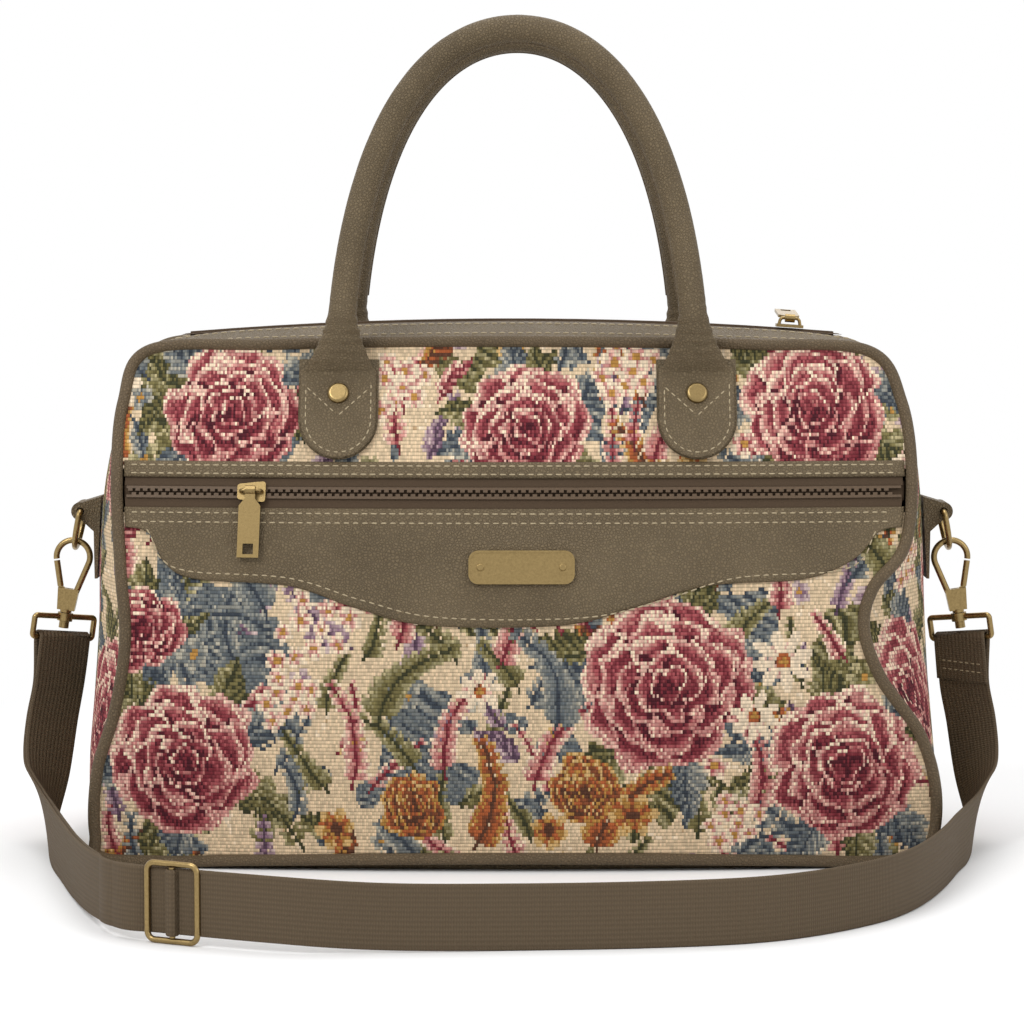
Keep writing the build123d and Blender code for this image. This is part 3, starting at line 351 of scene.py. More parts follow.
def weave_fillers(random):
    """Small blossoms, leaves and sprays on a loose grid."""
    for x in np.arange(-340, 345, 21):
        for row, z in enumerate(np.arange(2, 292, 23)):
            cx = x + random.uniform(-9, 9) + 13 * (row % 2)
            cz = z + random.uniform(-9, 9)
            tones = FILLER_TONES[random.integers(0, len(FILLER_TONES))]
            angle = random.uniform(30, 150)
            kind = random.integers(0, 5)
            if kind == 0:
                blossom(cx, cz, random.uniform(6, 9), angle, tones[1:], OCHRE, 5)
            elif kind == 1:
                leaf(cx, cz - 8, random.uniform(20, 32), random.uniform(9, 14), angle, tones)
            else:
                spray(cx, cz - 14, random.uniform(30, 46), angle, random.uniform(-9, 9), 8,
                      random.uniform(6, 10), tones, random.uniform(0.12, 0.3))


def weave_rose_leaves(random):
    for index, (cx, cz, radius, angle) in enumerate(ROSES):
        for spoke in range(8):
            turn = angle + spoke * 45 + random.uniform(-12, 12)
            leaf(*polar(cx, cz, radius * 0.7, turn),
                 radius * random.uniform(0.75, 1.15), radius * random.uniform(0.42, 0.6),
                 turn + random.uniform(-28, 28), (BLUE_TONES, GREEN_TONES)[(spoke + index) % 2])


def weave_picture():
    """The whole floral layout, from the ground up."""
    random = np.random.default_rng(21)
    weave_ground()
    weave_fillers(random)
    weave_rose_leaves(random)
    for cx, cz, angle, bend in PINK_SPRAYS:
        spray(cx, cz, 58, angle, bend, 11, 10, PINK_TONES, 0.2)
    for cx, cz, angle, bend, tones in FERNS:
        spray(cx, cz, 60, angle, bend, 11, 13, tones, 0.26)
    for place in ROSES + SMALL_ROSES:
        rose(*place)
    for cx, cz, radius, seed in CLUSTERS:
        cluster(cx, cz, radius, 9, PINK_TONES[3:], OCHRE, seed)
    for place in DAISIES:
        daisy(*place)
    for place in RUST_BLOSSOMS:
        blossom(*place, RUST_TONES[1:], BROWN, 6)
    # Each stitch differs a little, and the dye is muted and slightly faded
    grey = cloth.mean(axis=2, keepdims=True)
    cloth[:] = (0.84 * cloth + 0.16 * grey) * np.array([0.93, 0.885, 0.84])
    cloth[:] = cloth * (0.9 + 0.2 * loose)[..., None]
    cloth[:] = np.clip(cloth, 0, 255)


def cloth_colour(x, z):
    """Linear colour of the cloth at stitch centres."""
    i = np.clip(((x + CLOTH_HALF) / STITCH_WIDTH).astype(int), 0, len(CLOTH_X) - 1)
    j = np.clip(((z - CLOTH_FOOT) / ROW_HEIGHT).astype(int), 0, len(CLOTH_Z) - 1)
    return linear(cloth[i, j])


# Meshes
def shade_smooth(mesh):
    mesh.polygons.foreach_set("use_smooth", [True] * len(mesh.polygons))


def place_new(name, data):
    thing = bpy.data.objects.new(name, data)
    bpy.context.scene.collection.objects.link(thing)
    return thing


def new_object(name, vertices, faces, material, body="bag"):
    """Smooth-shaded object from vertices in millimetres, riding on a body."""
    mesh = bpy.data.meshes.new(name)
    mesh.from_pydata([tuple(v) for v in np.asarray(vertices, float) * MM], [], faces)
    mesh.update()
    shade_smooth(mesh)
    mesh.materials.append(material)
    thing = place_new(name, mesh)
    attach(thing, body)
    return thing


def unit(vectors):
    """Vectors of length one, along the last axis."""
    return vectors / np.linalg.norm(vectors, axis=-1)[..., None]


def left_of(path):
    """Vectors of length one to the left of a flat path."""
    along = unit(np.gradient(path, axis=0))
    return np.stack([-along[:, 1], along[:, 0]], 1)


def stack(*columns):
    """Points or UVs from columns that broadcast."""
    return np.stack(np.broadcast_arrays(*columns), -1)


def tube_faces(rows, sides, start=0):
    """Sides and end caps of a tube."""
    last = start + (rows - 1) * sides
    return grid_faces(rows, sides, start, closed=True) + [
        tuple(range(start, start + sides))[::-1], tuple(range(last, last + sides))]


def grid_faces(rows, columns, start=0, closed=False):
    """Quads of a grid; closed joins the last column to the first."""
    faces = []
    for i in range(rows - 1):
        for j in range(columns if closed else columns - 1):
            k = (j + 1) % columns
            row = start + i * columns
            faces.append((row + j, row + k, row + columns + k, row + columns + j))
    return faces


def set_uv(thing, uv):
    """One UV per vertex."""
    layer = thing.data.uv_layers.new(name="uv")
    loops = np.zeros(len(thing.data.loops), int)
    thing.data.loops.foreach_get("vertex_index", loops)
    layer.data.foreach_set("uv", np.asarray(uv, float).reshape(-1, 2)[loops].ravel())


def set_yarn(thing, colours):
    """One linear colour per face."""
    attribute = thing.data.color_attributes.new("yarn", "FLOAT_COLOR", "CORNER")
    counts = np.zeros(len(thing.data.polygons), int)
    thing.data.polygons.foreach_get("loop_total", counts)
    full = np.repeat(np.c_[colours, np.ones(len(colours))], counts, axis=0)
    attribute.data.foreach_set("color", full.ravel())


def tube(name, path, radius, material, sides=14, closed=False):
    """Round cord along a path."""
    tangent = unit(np.gradient(path, axis=0))
    side = unit(np.cross(tangent, np.broadcast_to((0, 1, 0.01), path.shape)))
    top = np.cross(side, tangent)
    turn = np.linspace(0, 2 * np.pi, sides, endpoint=False)
    ring = side[:, None] * np.cos(turn)[None, :, None] + top[:, None] * np.sin(turn)[None, :, None]
    points = path[:, None] + ring * radius
    if closed:
        last = (len(path) - 1) * sides
        faces = grid_faces(len(path), sides, closed=True)
        faces += [(last + j, last + (j + 1) % sides, (j + 1) % sides, j) for j in range(sides)]
    else:
        faces = tube_faces(len(path), sides)
    thing = new_object(name, points.reshape(-1, 3), faces, material)
    set_uv(thing, stack(run_along(path)[:, None], (turn * 7)[None]))
    return thing


# One stitch: share of its length, share of its radius
STITCH_PROFILE = [(-0.5, 0.25), (-0.42, 0.8), (-0.2, 1.0), (0.2, 1.0), (0.42, 0.8), (0.5, 0.25)]
STITCH_SIDES = 6


def sample(where, run, values):
    """Columns of values at a distance along a path."""
    return np.array([np.interp(where, run, column) for column in values.T])


def stitches(name, paths, length=3.4, pitch=4.9, radius=0.42, body="bag", sink=0.1):
    """Thread dashes along paths of points and normals."""
    vertices, faces = [], []
    for path, normals in paths:
        run = run_along(path)
        for centre in np.arange(pitch / 2, run[-1] - pitch / 4, pitch):
            ahead = sample(centre + length / 2, run, path) - sample(centre - length / 2, run, path)
            ahead /= np.linalg.norm(ahead) + 1e-9
            side = np.cross(ahead, sample(centre, run, normals))
            side /= np.linalg.norm(side) + 1e-9
            normal = np.cross(side, ahead)
            base = len(vertices)
            spot = sample(centre, run, path)
            for along, fat in STITCH_PROFILE:
                rise = -0.35 * (2 * along) ** 2 * radius
                for k in range(STITCH_SIDES):
                    turn = 2 * math.pi * k / STITCH_SIDES
                    vertices.append(spot + ahead * along * length + normal * (rise - sink)
                                    + (side * math.cos(turn) + normal * math.sin(turn) * 0.8) * radius * fat)
            faces += tube_faces(len(STITCH_PROFILE), STITCH_SIDES, base)
    return new_object(name, vertices, faces, YARN, body)


def slab(name, top, normals, thickness, material, uv=None):
    """Sheet with a rounded edge and a flat back, from a grid of points and normals."""
    rows, columns = top.shape[:2]
    outward = unit(normals)
    edge = np.minimum.outer(*(np.minimum(np.arange(n), np.arange(n)[::-1]) for n in (rows, columns)))
    drop = np.where(edge == 0, 0.5 * thickness, np.where(edge == 1, 0.12 * thickness, 0.0))
    skin = top - outward * drop[..., None]
    back = top - outward * thickness
    vertices = np.vstack([skin.reshape(-1, 3), back.reshape(-1, 3)])
    faces = grid_faces(rows, columns)
    shift = rows * columns
    faces += [tuple(shift + v for v in face[::-1]) for face in faces]
    ids = np.arange(shift).reshape(rows, columns)
    rim = np.r_[ids[0], ids[1:, -1], ids[-1, -2::-1], ids[-2:0:-1, 0]].tolist()
    faces += [(b, a, shift + a, shift + b) for a, b in zip(rim, rim[1:] + rim[:1])]
    thing = new_object(name, vertices, faces, material)
    if uv is not None:
        set_uv(thing, np.stack([uv, uv]))
    return thing


# Materials
class Value:
    """Output of a shader node that ordinary arithmetic works on."""

    def __init__(self, socket):
        self.socket = socket

    def maths(self, operation, *others):
        inputs = dict(enumerate((self, *others)))
        return add(self.socket.id_data, "Math", inputs, operation=operation)[0]

    def __add__(self, other):
        return self.maths("ADD", other)

    def __mul__(self, other):
        return self.maths("MULTIPLY", other)

    def __pow__(self, other):
        return self.maths("POWER", other)


def set_socket(socket, value):
    """Give a socket a plain value or another node's output."""
    if isinstance(value, Value):
        socket.id_data.links.new(value.socket, socket)
    else:
        socket.default_value = value


def add(tree, kind, inputs=None, **settings):
    """Outputs of a new shader node; its settings come before its inputs."""
    node = tree.nodes.new("ShaderNode" + kind)
    for name, value in settings.items():
        setattr(node, name, value)
    for key, value in (inputs or {}).items():
        set_socket(node.inputs[key], value)
    return [Value(socket) for socket in node.outputs]


def place_in(tree):
    """Position in the piece's own frame."""
    return add(tree, "TexCoord")[OBJECT_COORDINATES]


def grain(tree, place, scale, detail=2.0):
    """Noise as a value and as a colour."""
    return add(tree, "TexNoise", {"Vector": place, "Scale": scale, "Detail": detail})[:2]


def uv_axes(tree):
    return add(tree, "SeparateXYZ", {0: add(tree, "UVMap", uv_map="uv")[0]})[:2]


def mix(share, first, second):
    return add(share.socket.id_data, "Mix", {0: share, 6: first, 7: second}, data_type="RGBA")[MIXED_COLOUR]


OBJECT_COORDINATES, MIXED_COLOUR = 3, 2


def new_material(name):
    material = bpy.data.materials.new(name)
    material.use_nodes = True
    return material, material.node_tree


def finish_look(tree, colour, rough, specular, height, strength, depth, metallic=0.0):
    """Colour, finish and bumps, into the material's shader."""
    bump = add(tree, "Bump", {"Strength": strength, "Distance": depth, "Height": height})[0]
    for name, value in (("Base Color", colour), ("Roughness", rough), ("Specular IOR Level", specular),
                        ("Metallic", metallic), ("Normal", bump)):
        set_socket(tree.nodes["Principled BSDF"].inputs[name], value)


def cloth_material():
    """Woven stitches: yarn colour from the mesh, ribs and gaps from the UV in stitches."""
    material, tree = new_material("tapestry_weave")
    across, along = [(axis * math.pi).maths("SINE").maths("ABSOLUTE") for axis in uv_axes(tree)]
    height = along**0.55 * 0.75 + across**0.4 * 0.25
    fuzz = grain(tree, add(tree, "NewGeometry")[0], 2200)[0]
    yarn = add(tree, "VertexColor", layer_name="yarn")[0]
    shaded = add(tree, "VectorMath", {0: yarn, "Scale": height * 0.42 + 0.62}, operation="SCALE")[0]
    finish_look(tree, shaded, 0.92, 0.18, height + fuzz * 0.22, 0.85, 0.0007)
    return material


def leather_material(name, base, darker):
    """Fine pebbled hide with soft random tone changes, and painted shade in the hollows between the pebbles.
    """
    material, tree = new_material(name)
    place = place_in(tree)
    tone = grain(tree, place, 22, 6)[0]
    warp = grain(tree, place, 320)[1]
    warped = add(tree, "VectorMath", {0: warp, 1: (0.0012,) * 3, 2: place}, operation="MULTIPLY_ADD")[0]
    cells = add(tree, "TexVoronoi", {"Vector": warped, "Scale": 640}, feature="DISTANCE_TO_EDGE")[0]
    pebble = (cells * 4.0).maths("MINIMUM", 1.0)
    height = pebble + grain(tree, place, 160)[0] * 0.9
    # Painted shade: the colour darkens towards the darker leather in the hollows between the pebbles; the
    # tone noise adds random changes
    share = (pebble * -1 + 1.0) * 0.6 + (tone + -0.38) * 1.1
    share = share.maths("MAXIMUM", 0.0).maths("MINIMUM", 1.0)
    finish_look(tree, mix(share, rgba(base), rgba(darker)), tone * 0.16 + 0.48, 0.22, height, 0.75, 0.0005)
    return material


PICK_PITCH, RIB_PITCH = 1.3, 2.3


def webbing_material():
    """Ribs along the webbing and picks across, from the UV in millimetres."""
    material, tree = new_material("webbing_weave")
    pick, rib = [(axis * (2 * math.pi / pitch)).maths("SINE")
                 for axis, pitch in zip(uv_axes(tree), (PICK_PITCH, RIB_PITCH))]
    height = pick * (rib * 0.35 + 0.65) * 0.5 + rib * 0.35
    # Painted shade: the webbing's colour darkens where the weave dips between ribs and picks
    colour = mix(height * -0.35 + 0.4, rgba(WEBBING, 1.05), rgba(WEBBING, 0.55))
    finish_look(tree, colour, 0.78, 0.25, height, 0.7, 0.0005)
    return material


def brass_material():
    """Antique brass, evenly worn."""
    material, tree = new_material("antique_brass")
    tone = grain(tree, place_in(tree), 900, 3)[0]
    colour = mix(tone, rgba((170, 146, 99)), rgba((122, 103, 68)))
    finish_look(tree, colour, tone * 0.22 + 0.2, 0.5, tone, 0.08, 0.0002, 1.0)
    return material


def plain_material(name, base, scale, rough=0.85):
    """Plain fine cloth, coil or thread."""
    material, tree = new_material(name)
    tone = grain(tree, place_in(tree), scale)[0]
    finish_look(tree, mix(tone, rgba(base, 1.15), rgba(base, 0.7)), rough, 0.3, tone, 0.3, 0.0003)
    return material


WEAVE = cloth_material()
HIDE = leather_material("grained_leather", LEATHER, LEATHER_DARK)
PIPING_HIDE = leather_material("piping_leather", (108, 92, 70), (80, 67, 50))
STRAP_CLOTH = webbing_material()
METAL = brass_material()
ZIP_TAPE = plain_material("zip_tape_cloth", ZIP_CLOTH, 1500)
ZIP_TEETH = plain_material("zip_coil", ZIP_COIL, 700, 0.5)
YARN = plain_material("sewing_thread", THREAD, 1800, 0.6)
LINING = plain_material("lining_cloth", (116, 98, 76), 1200)
BOARD = plain_material("grey_board", (150, 142, 128), 500)
FIBRE = plain_material("cord_fibre", (170, 156, 130), 900)

# Material, words in its nodes' names, whole names
DRESS = (
    (HIDE, "patches loop_tab base_panel pocket_binding pocket_yoke top_strip", "front_handle back_handle"),
    (PIPING_HIDE, "piping", ""),
    (WEAVE, "gusset", "pocket_panel upper_front_panel back_panel"),
    (METAL, "name_plate rivets ring slider pull hook gate swivel_eye", "adjuster_frame adjuster_bar"),
    (STRAP_CLOTH, "", "shoulder_strap strap_end_loop"),
    (ZIP_TAPE, "zip_tape", ""),
    (ZIP_TEETH, "zip_teeth", ""),
    (LINING, "lining", ""),
    (BOARD, "", "base_board"),
    (FIBRE, "", "front_handle_core back_handle_core"),
)
for node_name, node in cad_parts.items():
    shade_smooth(node.data)
    for material, words, names in DRESS:
        if node_name in names.split() or any(word in node_name for word in words.split()):
            node.data.materials.clear()
            node.data.materials.append(material)


# Tapestry panels
weave_picture()


def cut_size(across, up, wanted):
    """Width and height of the cut cloth in metres, a little more than its span for the bow and slope."""
    return [round(float(np.ptp(axis[wanted])) * MM * slope + 0.004, 3)
            for axis, slope in ((across, 1.01), (up, 1.1))]


def woven(name, node, rows_z, column_x, place, keep, cloth_x):
    """Cloth on a surface, one quad a stitch, inside its outline."""
    z_edge, x_edge = np.asarray(rows_z, float), np.asarray(column_x, float)
    gx, gz = np.meshgrid(x_edge, z_edge)
    points = place(gx, gz)
    mx, mz = (gx[:-1, :-1] + gx[1:, 1:]) / 2, (gz[:-1, :-1] + gz[1:, 1:]) / 2
    wanted = keep(mx, mz)
    rows, columns = gx.shape
    i, j = np.nonzero(wanted)
    first = i * columns + j
    corners = np.stack([first, first + 1, first + columns + 1, first + columns], 1)
    used, faces = np.unique(corners, return_inverse=True)
    faces = faces.reshape(corners.shape)
    thing = new_object(name, points.reshape(-1, 3)[used], faces.tolist(), WEAVE)
    uv = np.stack(np.meshgrid(np.arange(columns), np.arange(rows)), -1).reshape(-1, 2)[used]
    set_uv(thing, uv)
    set_yarn(thing, cloth_colour(cloth_x(mx, mz), mz)[i, j])
    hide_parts(node)
    width, height = cut_size(mx, mz, wanted)


def puff(x, z):
    """Soft unevenness of the cloth, within a millimetre."""
    return 0.8 * (noise(x + 300, z, 60, 31) - 0.55) + 0.3 * (noise(x + 300, z, 23, 32) - 0.5)


def shrink(outline, amount):
    """Closed outline drawn in by amount."""
    ring = outline[:-1]
    along = unit(np.roll(ring, -1, axis=0) - np.roll(ring, 1, axis=0))
    inward = np.stack([-along[:, 1], along[:, 0]], 1)
    result = ring + inward * amount
    return np.vstack([result, result[:1]])


PANEL_EDGE = shrink(OUTLINE, 1.6)  # the cloth ends under the piping
STITCH_X = np.arange(-232.0, 232.0, STITCH_WIDTH)


def turned(points, flip):
    """The same points, or their mirror images on the back where flip is -1."""
    return points * (1, flip, 1)


def panel_cloth(name, node, foot, top, low, high, flip=1):
    """Cloth of a front panel, or of the back where flip is -1, between low and high."""
    shift = 90 if flip < 0 else 0
    woven(name, node, np.arange(foot, top, ROW_HEIGHT), STITCH_X[::flip],
          lambda x, z: turned(front(x, z, puff(x + shift, z)), flip),
          lambda x, z: inside(x, z, PANEL_EDGE) & (z > low) & (z < high), lambda x, z: flip * x)


panel_cloth("pocket_cloth", "pocket_panel", 0.0, 188.6, 1, 188.5)
panel_cloth("upper_cloth", "upper_front_panel", 210.6, 278.0, 210, 276.4)
panel_cloth("back_cloth", "back_panel", 0.0, 278.0, 1, 276.4, flip=-1)

# x at the piping, x at the middle of the gusset, height
LEFT_GUSSET = [(-213, -224, 2.5), (-221, -231, 18), (-219, -231.5, 52), (-209, -229.5, 85), (-204, -227, 122),
               (-206, -226, 160), (-209, -222, 205), (-207, -213, 240), (-202, -204, 260)]
RIGHT_GUSSET = [(213, 224, 2.5), (223, 231, 18), (223, 231.5, 45), (212, 230, 76), (196, 228.5, 100),
                (188, 227, 130), (194, 226, 155), (210, 224, 185), (212, 221, 215), (208, 213, 242),
                (201, 204, 260)]


def gusset_arc(stations):
    """Middle x, radius and half length of the gusset's arc, as a function of height."""
    path = smooth_path(stations, step=1.0)

    def arc(z):
        edge = np.interp(z, path[:, 2], path[:, 0])
        middle = np.interp(z, path[:, 2], path[:, 1])
        half = -front(edge, z)[..., 1] - PANEL_INSET - 0.4
        rise = np.abs(middle - edge)
        radius = (half**2 + rise**2) / (2 * rise)
        return middle, radius, radius * np.arcsin(np.clip(half / radius, -1, 1))
    return arc


def gusset_cloth(name, node, side, stations):
    arc = gusset_arc(stations)

    def place(c, z):
        middle, radius, _ = arc(z)
        lift = 0.8 * puff(c + 150, z) - 0.2
        turn = c / radius
        x = middle - side * radius * (1 - np.cos(turn)) + side * lift
        return np.stack([x, radius * np.sin(turn), z], -1)

    columns = np.arange(-118, 118, STITCH_WIDTH)
    woven(name, node, np.arange(2.0, 260.6, ROW_HEIGHT), columns[::side], place,
          lambda c, z: np.abs(c) < arc(z)[2] + 2.2, lambda c, z: side * (c - 228))


gusset_cloth("left_gusset_cloth", "left_gusset", -1, LEFT_GUSSET)
gusset_cloth("right_gusset_cloth", "right_gusset", 1, RIGHT_GUSSET)


# Piping, leather trims and their stitching
def leather_for(thing, node):
    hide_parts(node)


def both(name, maker, node):
    """The same piece on the front and the back."""
    for face, flip in (("front", 1), ("back", -1)):
        maker(name.format(face), flip, node.format(face))


def piping(name, flip, node):
    path = turned(front(*OUTLINE.T), flip)[:-1]
    leather_for(tube(name, path, PIPING_RADIUS, PIPING_HIDE, closed=True), node)


both("{}_piping_cord", piping, "{}_piping")

# Where the front's trims end at each side
SIDE_LINE = shrink(OUTLINE, PANEL_INSET)
SIDES = {}
for hand in (-1, 1):
    half = SIDE_LINE[(SIDE_LINE[:, 0] * hand > 150) & (SIDE_LINE[:, 1] > 12) & (SIDE_LINE[:, 1] < 262)]
    SIDES[hand] = half[np.argsort(half[:, 1])]


def side_x(hand, z):
    return np.interp(z, SIDES[hand][:, 1], SIDES[hand][:, 0])


# Lower edge of the yoke
SCALLOP = smooth_path([(-x, z) for x, z in YOKE_EDGE[:0:-1]] + YOKE_EDGE[1:], step=1.5)


def scallop(x):
    return np.interp(x, SCALLOP[:, 0], SCALLOP[:, 1])


TRIM_HALF = 209


def raised(x, z, lift=TRIM_OUTER):
    """Points above the front, with their normals."""
    points = front(x, z, lift)
    return points, front(x, z, lift + 1) - points


def trim_grid(low, high, columns, rows, lift):
    """Grid across the front between two heights; low may vary along x."""
    u = np.linspace(0, 1, columns)
    x0 = TRIM_HALF * (2 * u - 1)
    bottom = low(x0) if callable(low) else np.full(columns, float(low))
    v = np.linspace(0, 1, rows)[:, None]
    z = bottom[None] * (1 - v) + high * v
    x = side_x(-1, z) * (1 - u[None]) + side_x(1, z) * u[None]
    return *raised(x, z, lift), stack(x, z)


def leather_trim(name, node, low, high, rows):
    points, normals, uv = trim_grid(low, high, 300, rows, TRIM_OUTER)
    leather_for(slab(name, points, normals, HIDE_THICKNESS, HIDE, uv), node)


leather_trim("yoke_hide", "pocket_yoke", scallop, YOKE_TOP, 36)
leather_trim("binding_hide", "pocket_binding", BINDING[0], BINDING[1], 8)


def row_at(z):
    """Level row between the sides."""
    return raised(np.arange(side_x(-1, z) + ROW_MARGIN, side_x(1, z) - ROW_MARGIN, 2.0), z)


def scallop_row():
    """Row along the scallop."""
    x, z = (SCALLOP + left_of(SCALLOP) * SCALLOP_INSET).T
    clear = (np.abs(x) < 196) & (z < YOKE_TOP - 9.5)
    return raised(x[clear], z[clear])


ROW_MARGIN = 3.0
SCALLOP_INSET = 4.2
stitches("front_trim_thread", [row_at(YOKE_TOP - 2.6), row_at(YOKE_TOP - 7.4), row_at(BINDING[0] + 2.0),
                               row_at(BINDING[1] - 2.0), scallop_row()])

# Top strips: x and height of the outer seam; x, height and depth of the edge along the zip
SEAM_TOP = [(-203.0, 260.3), (-199.5, 266.5), (-193, 271.5), (-182, 274.6), (-150, 276.0), (-100, 277.3),
            (-50, 278.2), (0, 278.5)]


def crown(x):
    """Height of the top zip."""
    return BAG_HEIGHT - x**2 / (2 * CROWN_RADIUS)


ZIP_TOP = [(-204.4, 260.3), (-200.5, 267), (-192.5, 273.5), (-181, 278.6)]
ZIP_TOP += [(x, crown(x)) for x in (-150, -100, -50, 0)]
ZIP_SIDE = [0.2, 0.2, 0.2, 12, 12, 12, 12, 12]


def strip_stations():
    """The strip's two long edges side by side."""
    stations = []
    for (sx, sz), (ex, ez), ey in zip(SEAM_TOP, ZIP_TOP, ZIP_SIDE):
        sy = float(front(sx, min(sz, PANEL_TOP))[1]) + PANEL_INSET + 0.8
        stations.append([sx, sy, sz, ex, -ey, ez])
    stations += [[-a, b, c, -d, e, f] for a, b, c, d, e, f in stations[-2::-1]]
    return smooth_path(stations, step=3.0)


STRIP = strip_stations()


def strip_surface(share, flip, rise=0.35):
    """Points and normals at shares of the strip's width from seam to zip."""
    near, far = STRIP[:, None, :3], STRIP[:, None, 3:]
    share = np.asarray(share, float)[None, :, None]
    points = near * (1 - share) + far * share
    along = np.gradient(points, axis=0)
    across = np.broadcast_to(far - near, points.shape)
    normals = unit(np.cross(along, across))
    normals *= np.sign(normals[..., 2:3] + 1e-9)
    points = points + normals * rise * np.sin(np.pi * share)
    return turned(points, flip), turned(normals, flip)


def top_strip(name, flip, node):
    share = np.linspace(0, 1, 14)
    points, normals = strip_surface(share, flip)
    order = slice(None, None, flip)
    uv = stack(STRIP[:, None, 0], share[None] * 40)
    leather_for(slab(name, points[:, order], normals[:, order], STRIP_THICKNESS, HIDE, uv[:, order]), node)


both("top_strip_{}_hide", top_strip, "top_strip_{}")
rows = []
for flip in (1, -1):
    points, normals = strip_surface([0.3, 0.78], flip)
    rows += [(points[6:-6, 0], normals[6:-6, 0]), (points[10:-10, 1], normals[10:-10, 1])]
stitches("top_strip_thread", rows, radius=0.5, sink=-0.1)


# Cloth behind the zips' teeth
UPWARD = (0, 0, 1.0)


def pocket_zip_backing():
    points, normals, uv = trim_grid(ZIP_HEIGHT - 5, ZIP_HEIGHT + 5, 160, 6, -1.5)
    slab("pocket_zip_backing", points, normals, BACKING_THICKNESS, ZIP_TAPE, uv)


def top_zip_backing():
    x = np.linspace(ZIP_HALF, -ZIP_HALF, 120)[:, None]
    y = np.linspace(-4.5, 4.5, 6)[None]
    points = stack(x, y, crown(x) - 2.6)
    slab("top_zip_backing", points, np.zeros(points.shape) + UPWARD, BACKING_THICKNESS, ZIP_TAPE)


def zip_end(name, hand):
    """Hide under the top strips where they close beyond the zip."""
    edge = STRIP[STRIP[:, 3] > 120, 3:]
    edge = edge[np.argsort(edge[:, 0])]
    x = np.linspace(194, 172, 14)[:, None]
    y = hand * (1.5 - np.interp(x, edge[:, 0], edge[:, 1])) * np.linspace(-1, 1, 8)
    z = np.interp(x, edge[:, 0], edge[:, 2]) - 2.3
    points = stack(hand * x, y, z)
    slab(name, points, np.zeros(points.shape) + UPWARD, BACKING_THICKNESS, HIDE)


pocket_zip_backing()
top_zip_backing()
zip_end("left_zip_end_hide", -1)
zip_end("right_zip_end_hide", 1)


# Handles, wrinkled where the roll meets the tabs
SKIN_VOXEL = 0.00105
CREASE_HEIGHT, CREASE_REACH, CREASE_DEPTH = 281, 16, 0.42
UNEVENNESS = 0.12


def fine_copy(name, node):
    """Evenly remeshed copy of a node."""
    thing = place_new(name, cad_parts[node].data.copy())
    fine = thing.modifiers.new("fine", "REMESH")
    fine.mode = "VOXEL"
    fine.voxel_size = SKIN_VOXEL
    thing.modifiers.new("smooth", "SMOOTH").iterations = 4
    skin = bpy.data.meshes.new_from_object(thing.evaluated_get(bpy.context.evaluated_depsgraph_get()))
    thing.modifiers.clear()
    thing.data = skin
    return thing


def handle_skin(name, flip, node):
    thing = fine_copy(name, node)
    skin = thing.data
    spots, normals = np.zeros((2, len(skin.vertices) * 3))
    skin.vertices.foreach_get("co", spots)
    skin.vertex_normals.foreach_get("vector", normals)
    spots, normals = spots.reshape(-1, 3) / MM, normals.reshape(-1, 3)
    z = spots[:, 2]
    near_foot = np.exp(-((z - CREASE_HEIGHT) / CREASE_REACH) ** 2)
    crease = np.sin(z * 1.15 + 2.5 * noise(spots[:, 0] + 500, z, 6, 44)) * noise(spots[:, 0] + 300, z, 8, 45)
    spots += normals * (CREASE_DEPTH * near_foot * crease)[:, None]
    spots += normals * (UNEVENNESS * (noise(spots[:, 0] + spots[:, 1] + 500, z, 11, 46) - 0.5))[:, None]
    skin.vertices.foreach_set("co", (spots * MM).ravel())
    skin.update()
    skin.materials.clear()
    skin.materials.append(HIDE)
    shade_smooth(skin)
    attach(thing, "bag")
    leather_for(thing, node)


both("{}_handle_hide", handle_skin, "{}_handle")

TAB_ROW_INSET, TAB_ROW_TOP = 3.2, 256
VEE_FOOT, VEE_RISE = 239, 15


def tab_rows(flip):
    """Rows round each tab's edge, and the vee across it."""
    rows = []
    shoulder = TAB_BOTTOM + TAB_HALF
    reach = TAB_HALF - TAB_ROW_INSET
    climb = np.linspace(TAB_ROW_TOP, shoulder + 1, 10)
    turn = np.radians(np.arange(0, 181, 6))
    for hand in (-1, 1):
        centre = HANDLE_OFFSET + hand * HANDLE_SPREAD
        x = np.r_[[centre + reach] * 10, centre + reach * np.cos(turn), [centre - reach] * 10]
        z = np.r_[climb, shoulder - reach * np.sin(turn), climb[::-1]]
        vee_x = np.r_[np.linspace(centre - reach, centre, 12), np.linspace(centre, centre + reach, 12)[1:]]
        vee_z = VEE_FOOT + VEE_RISE * np.abs(vee_x - centre) / reach
        for line_x, line_z in ((x, z), (vee_x[:12], vee_z[:12]), (vee_x[11:], vee_z[11:])):
            points, normals = raised(line_x, line_z, TAB_SKIN)
            rows.append((turned(points, flip), turned(normals, flip)))
    return rows


stitches("handle_tab_thread", tab_rows(1) + tab_rows(-1), length=3.0, pitch=4.3)


def grip_line(side_shift, flip):
    """The grip's centre line, moved towards the inside of its arch."""
    peak = math.hypot(HANDLE_PEAK - HANDLE_FOOT, HANDLE_LEAN)
    t = np.linspace(0, 1, 90)[:, None]
    corners = np.array([(GRIP_FOOT_HALF, 0.0), (GRIP_BEND_HALF, peak - GRIP_BEND_DROP),
                        (GRIP_CROWN_HALF, peak), (0.0, peak)])
    half = ((1 - t) ** 3 * corners[0] + 3 * (1 - t) ** 2 * t * corners[1] + 3 * (1 - t) * t**2 * corners[2]
            + t**3 * corners[3])
    flat = np.vstack([half * (-1, 1), half[-2::-1]])
    flat = flat - left_of(flat) * side_shift
    rise = np.array([0, HANDLE_LEAN, HANDLE_PEAK - HANDLE_FOOT]) / peak
    foot = np.array([HANDLE_OFFSET, -HANDLE_FOOT_DEPTH, HANDLE_FOOT])
    points = foot + flat[:, :1] * (1, 0, 0) + flat[:, 1:] * rise
    return turned(points, flip)


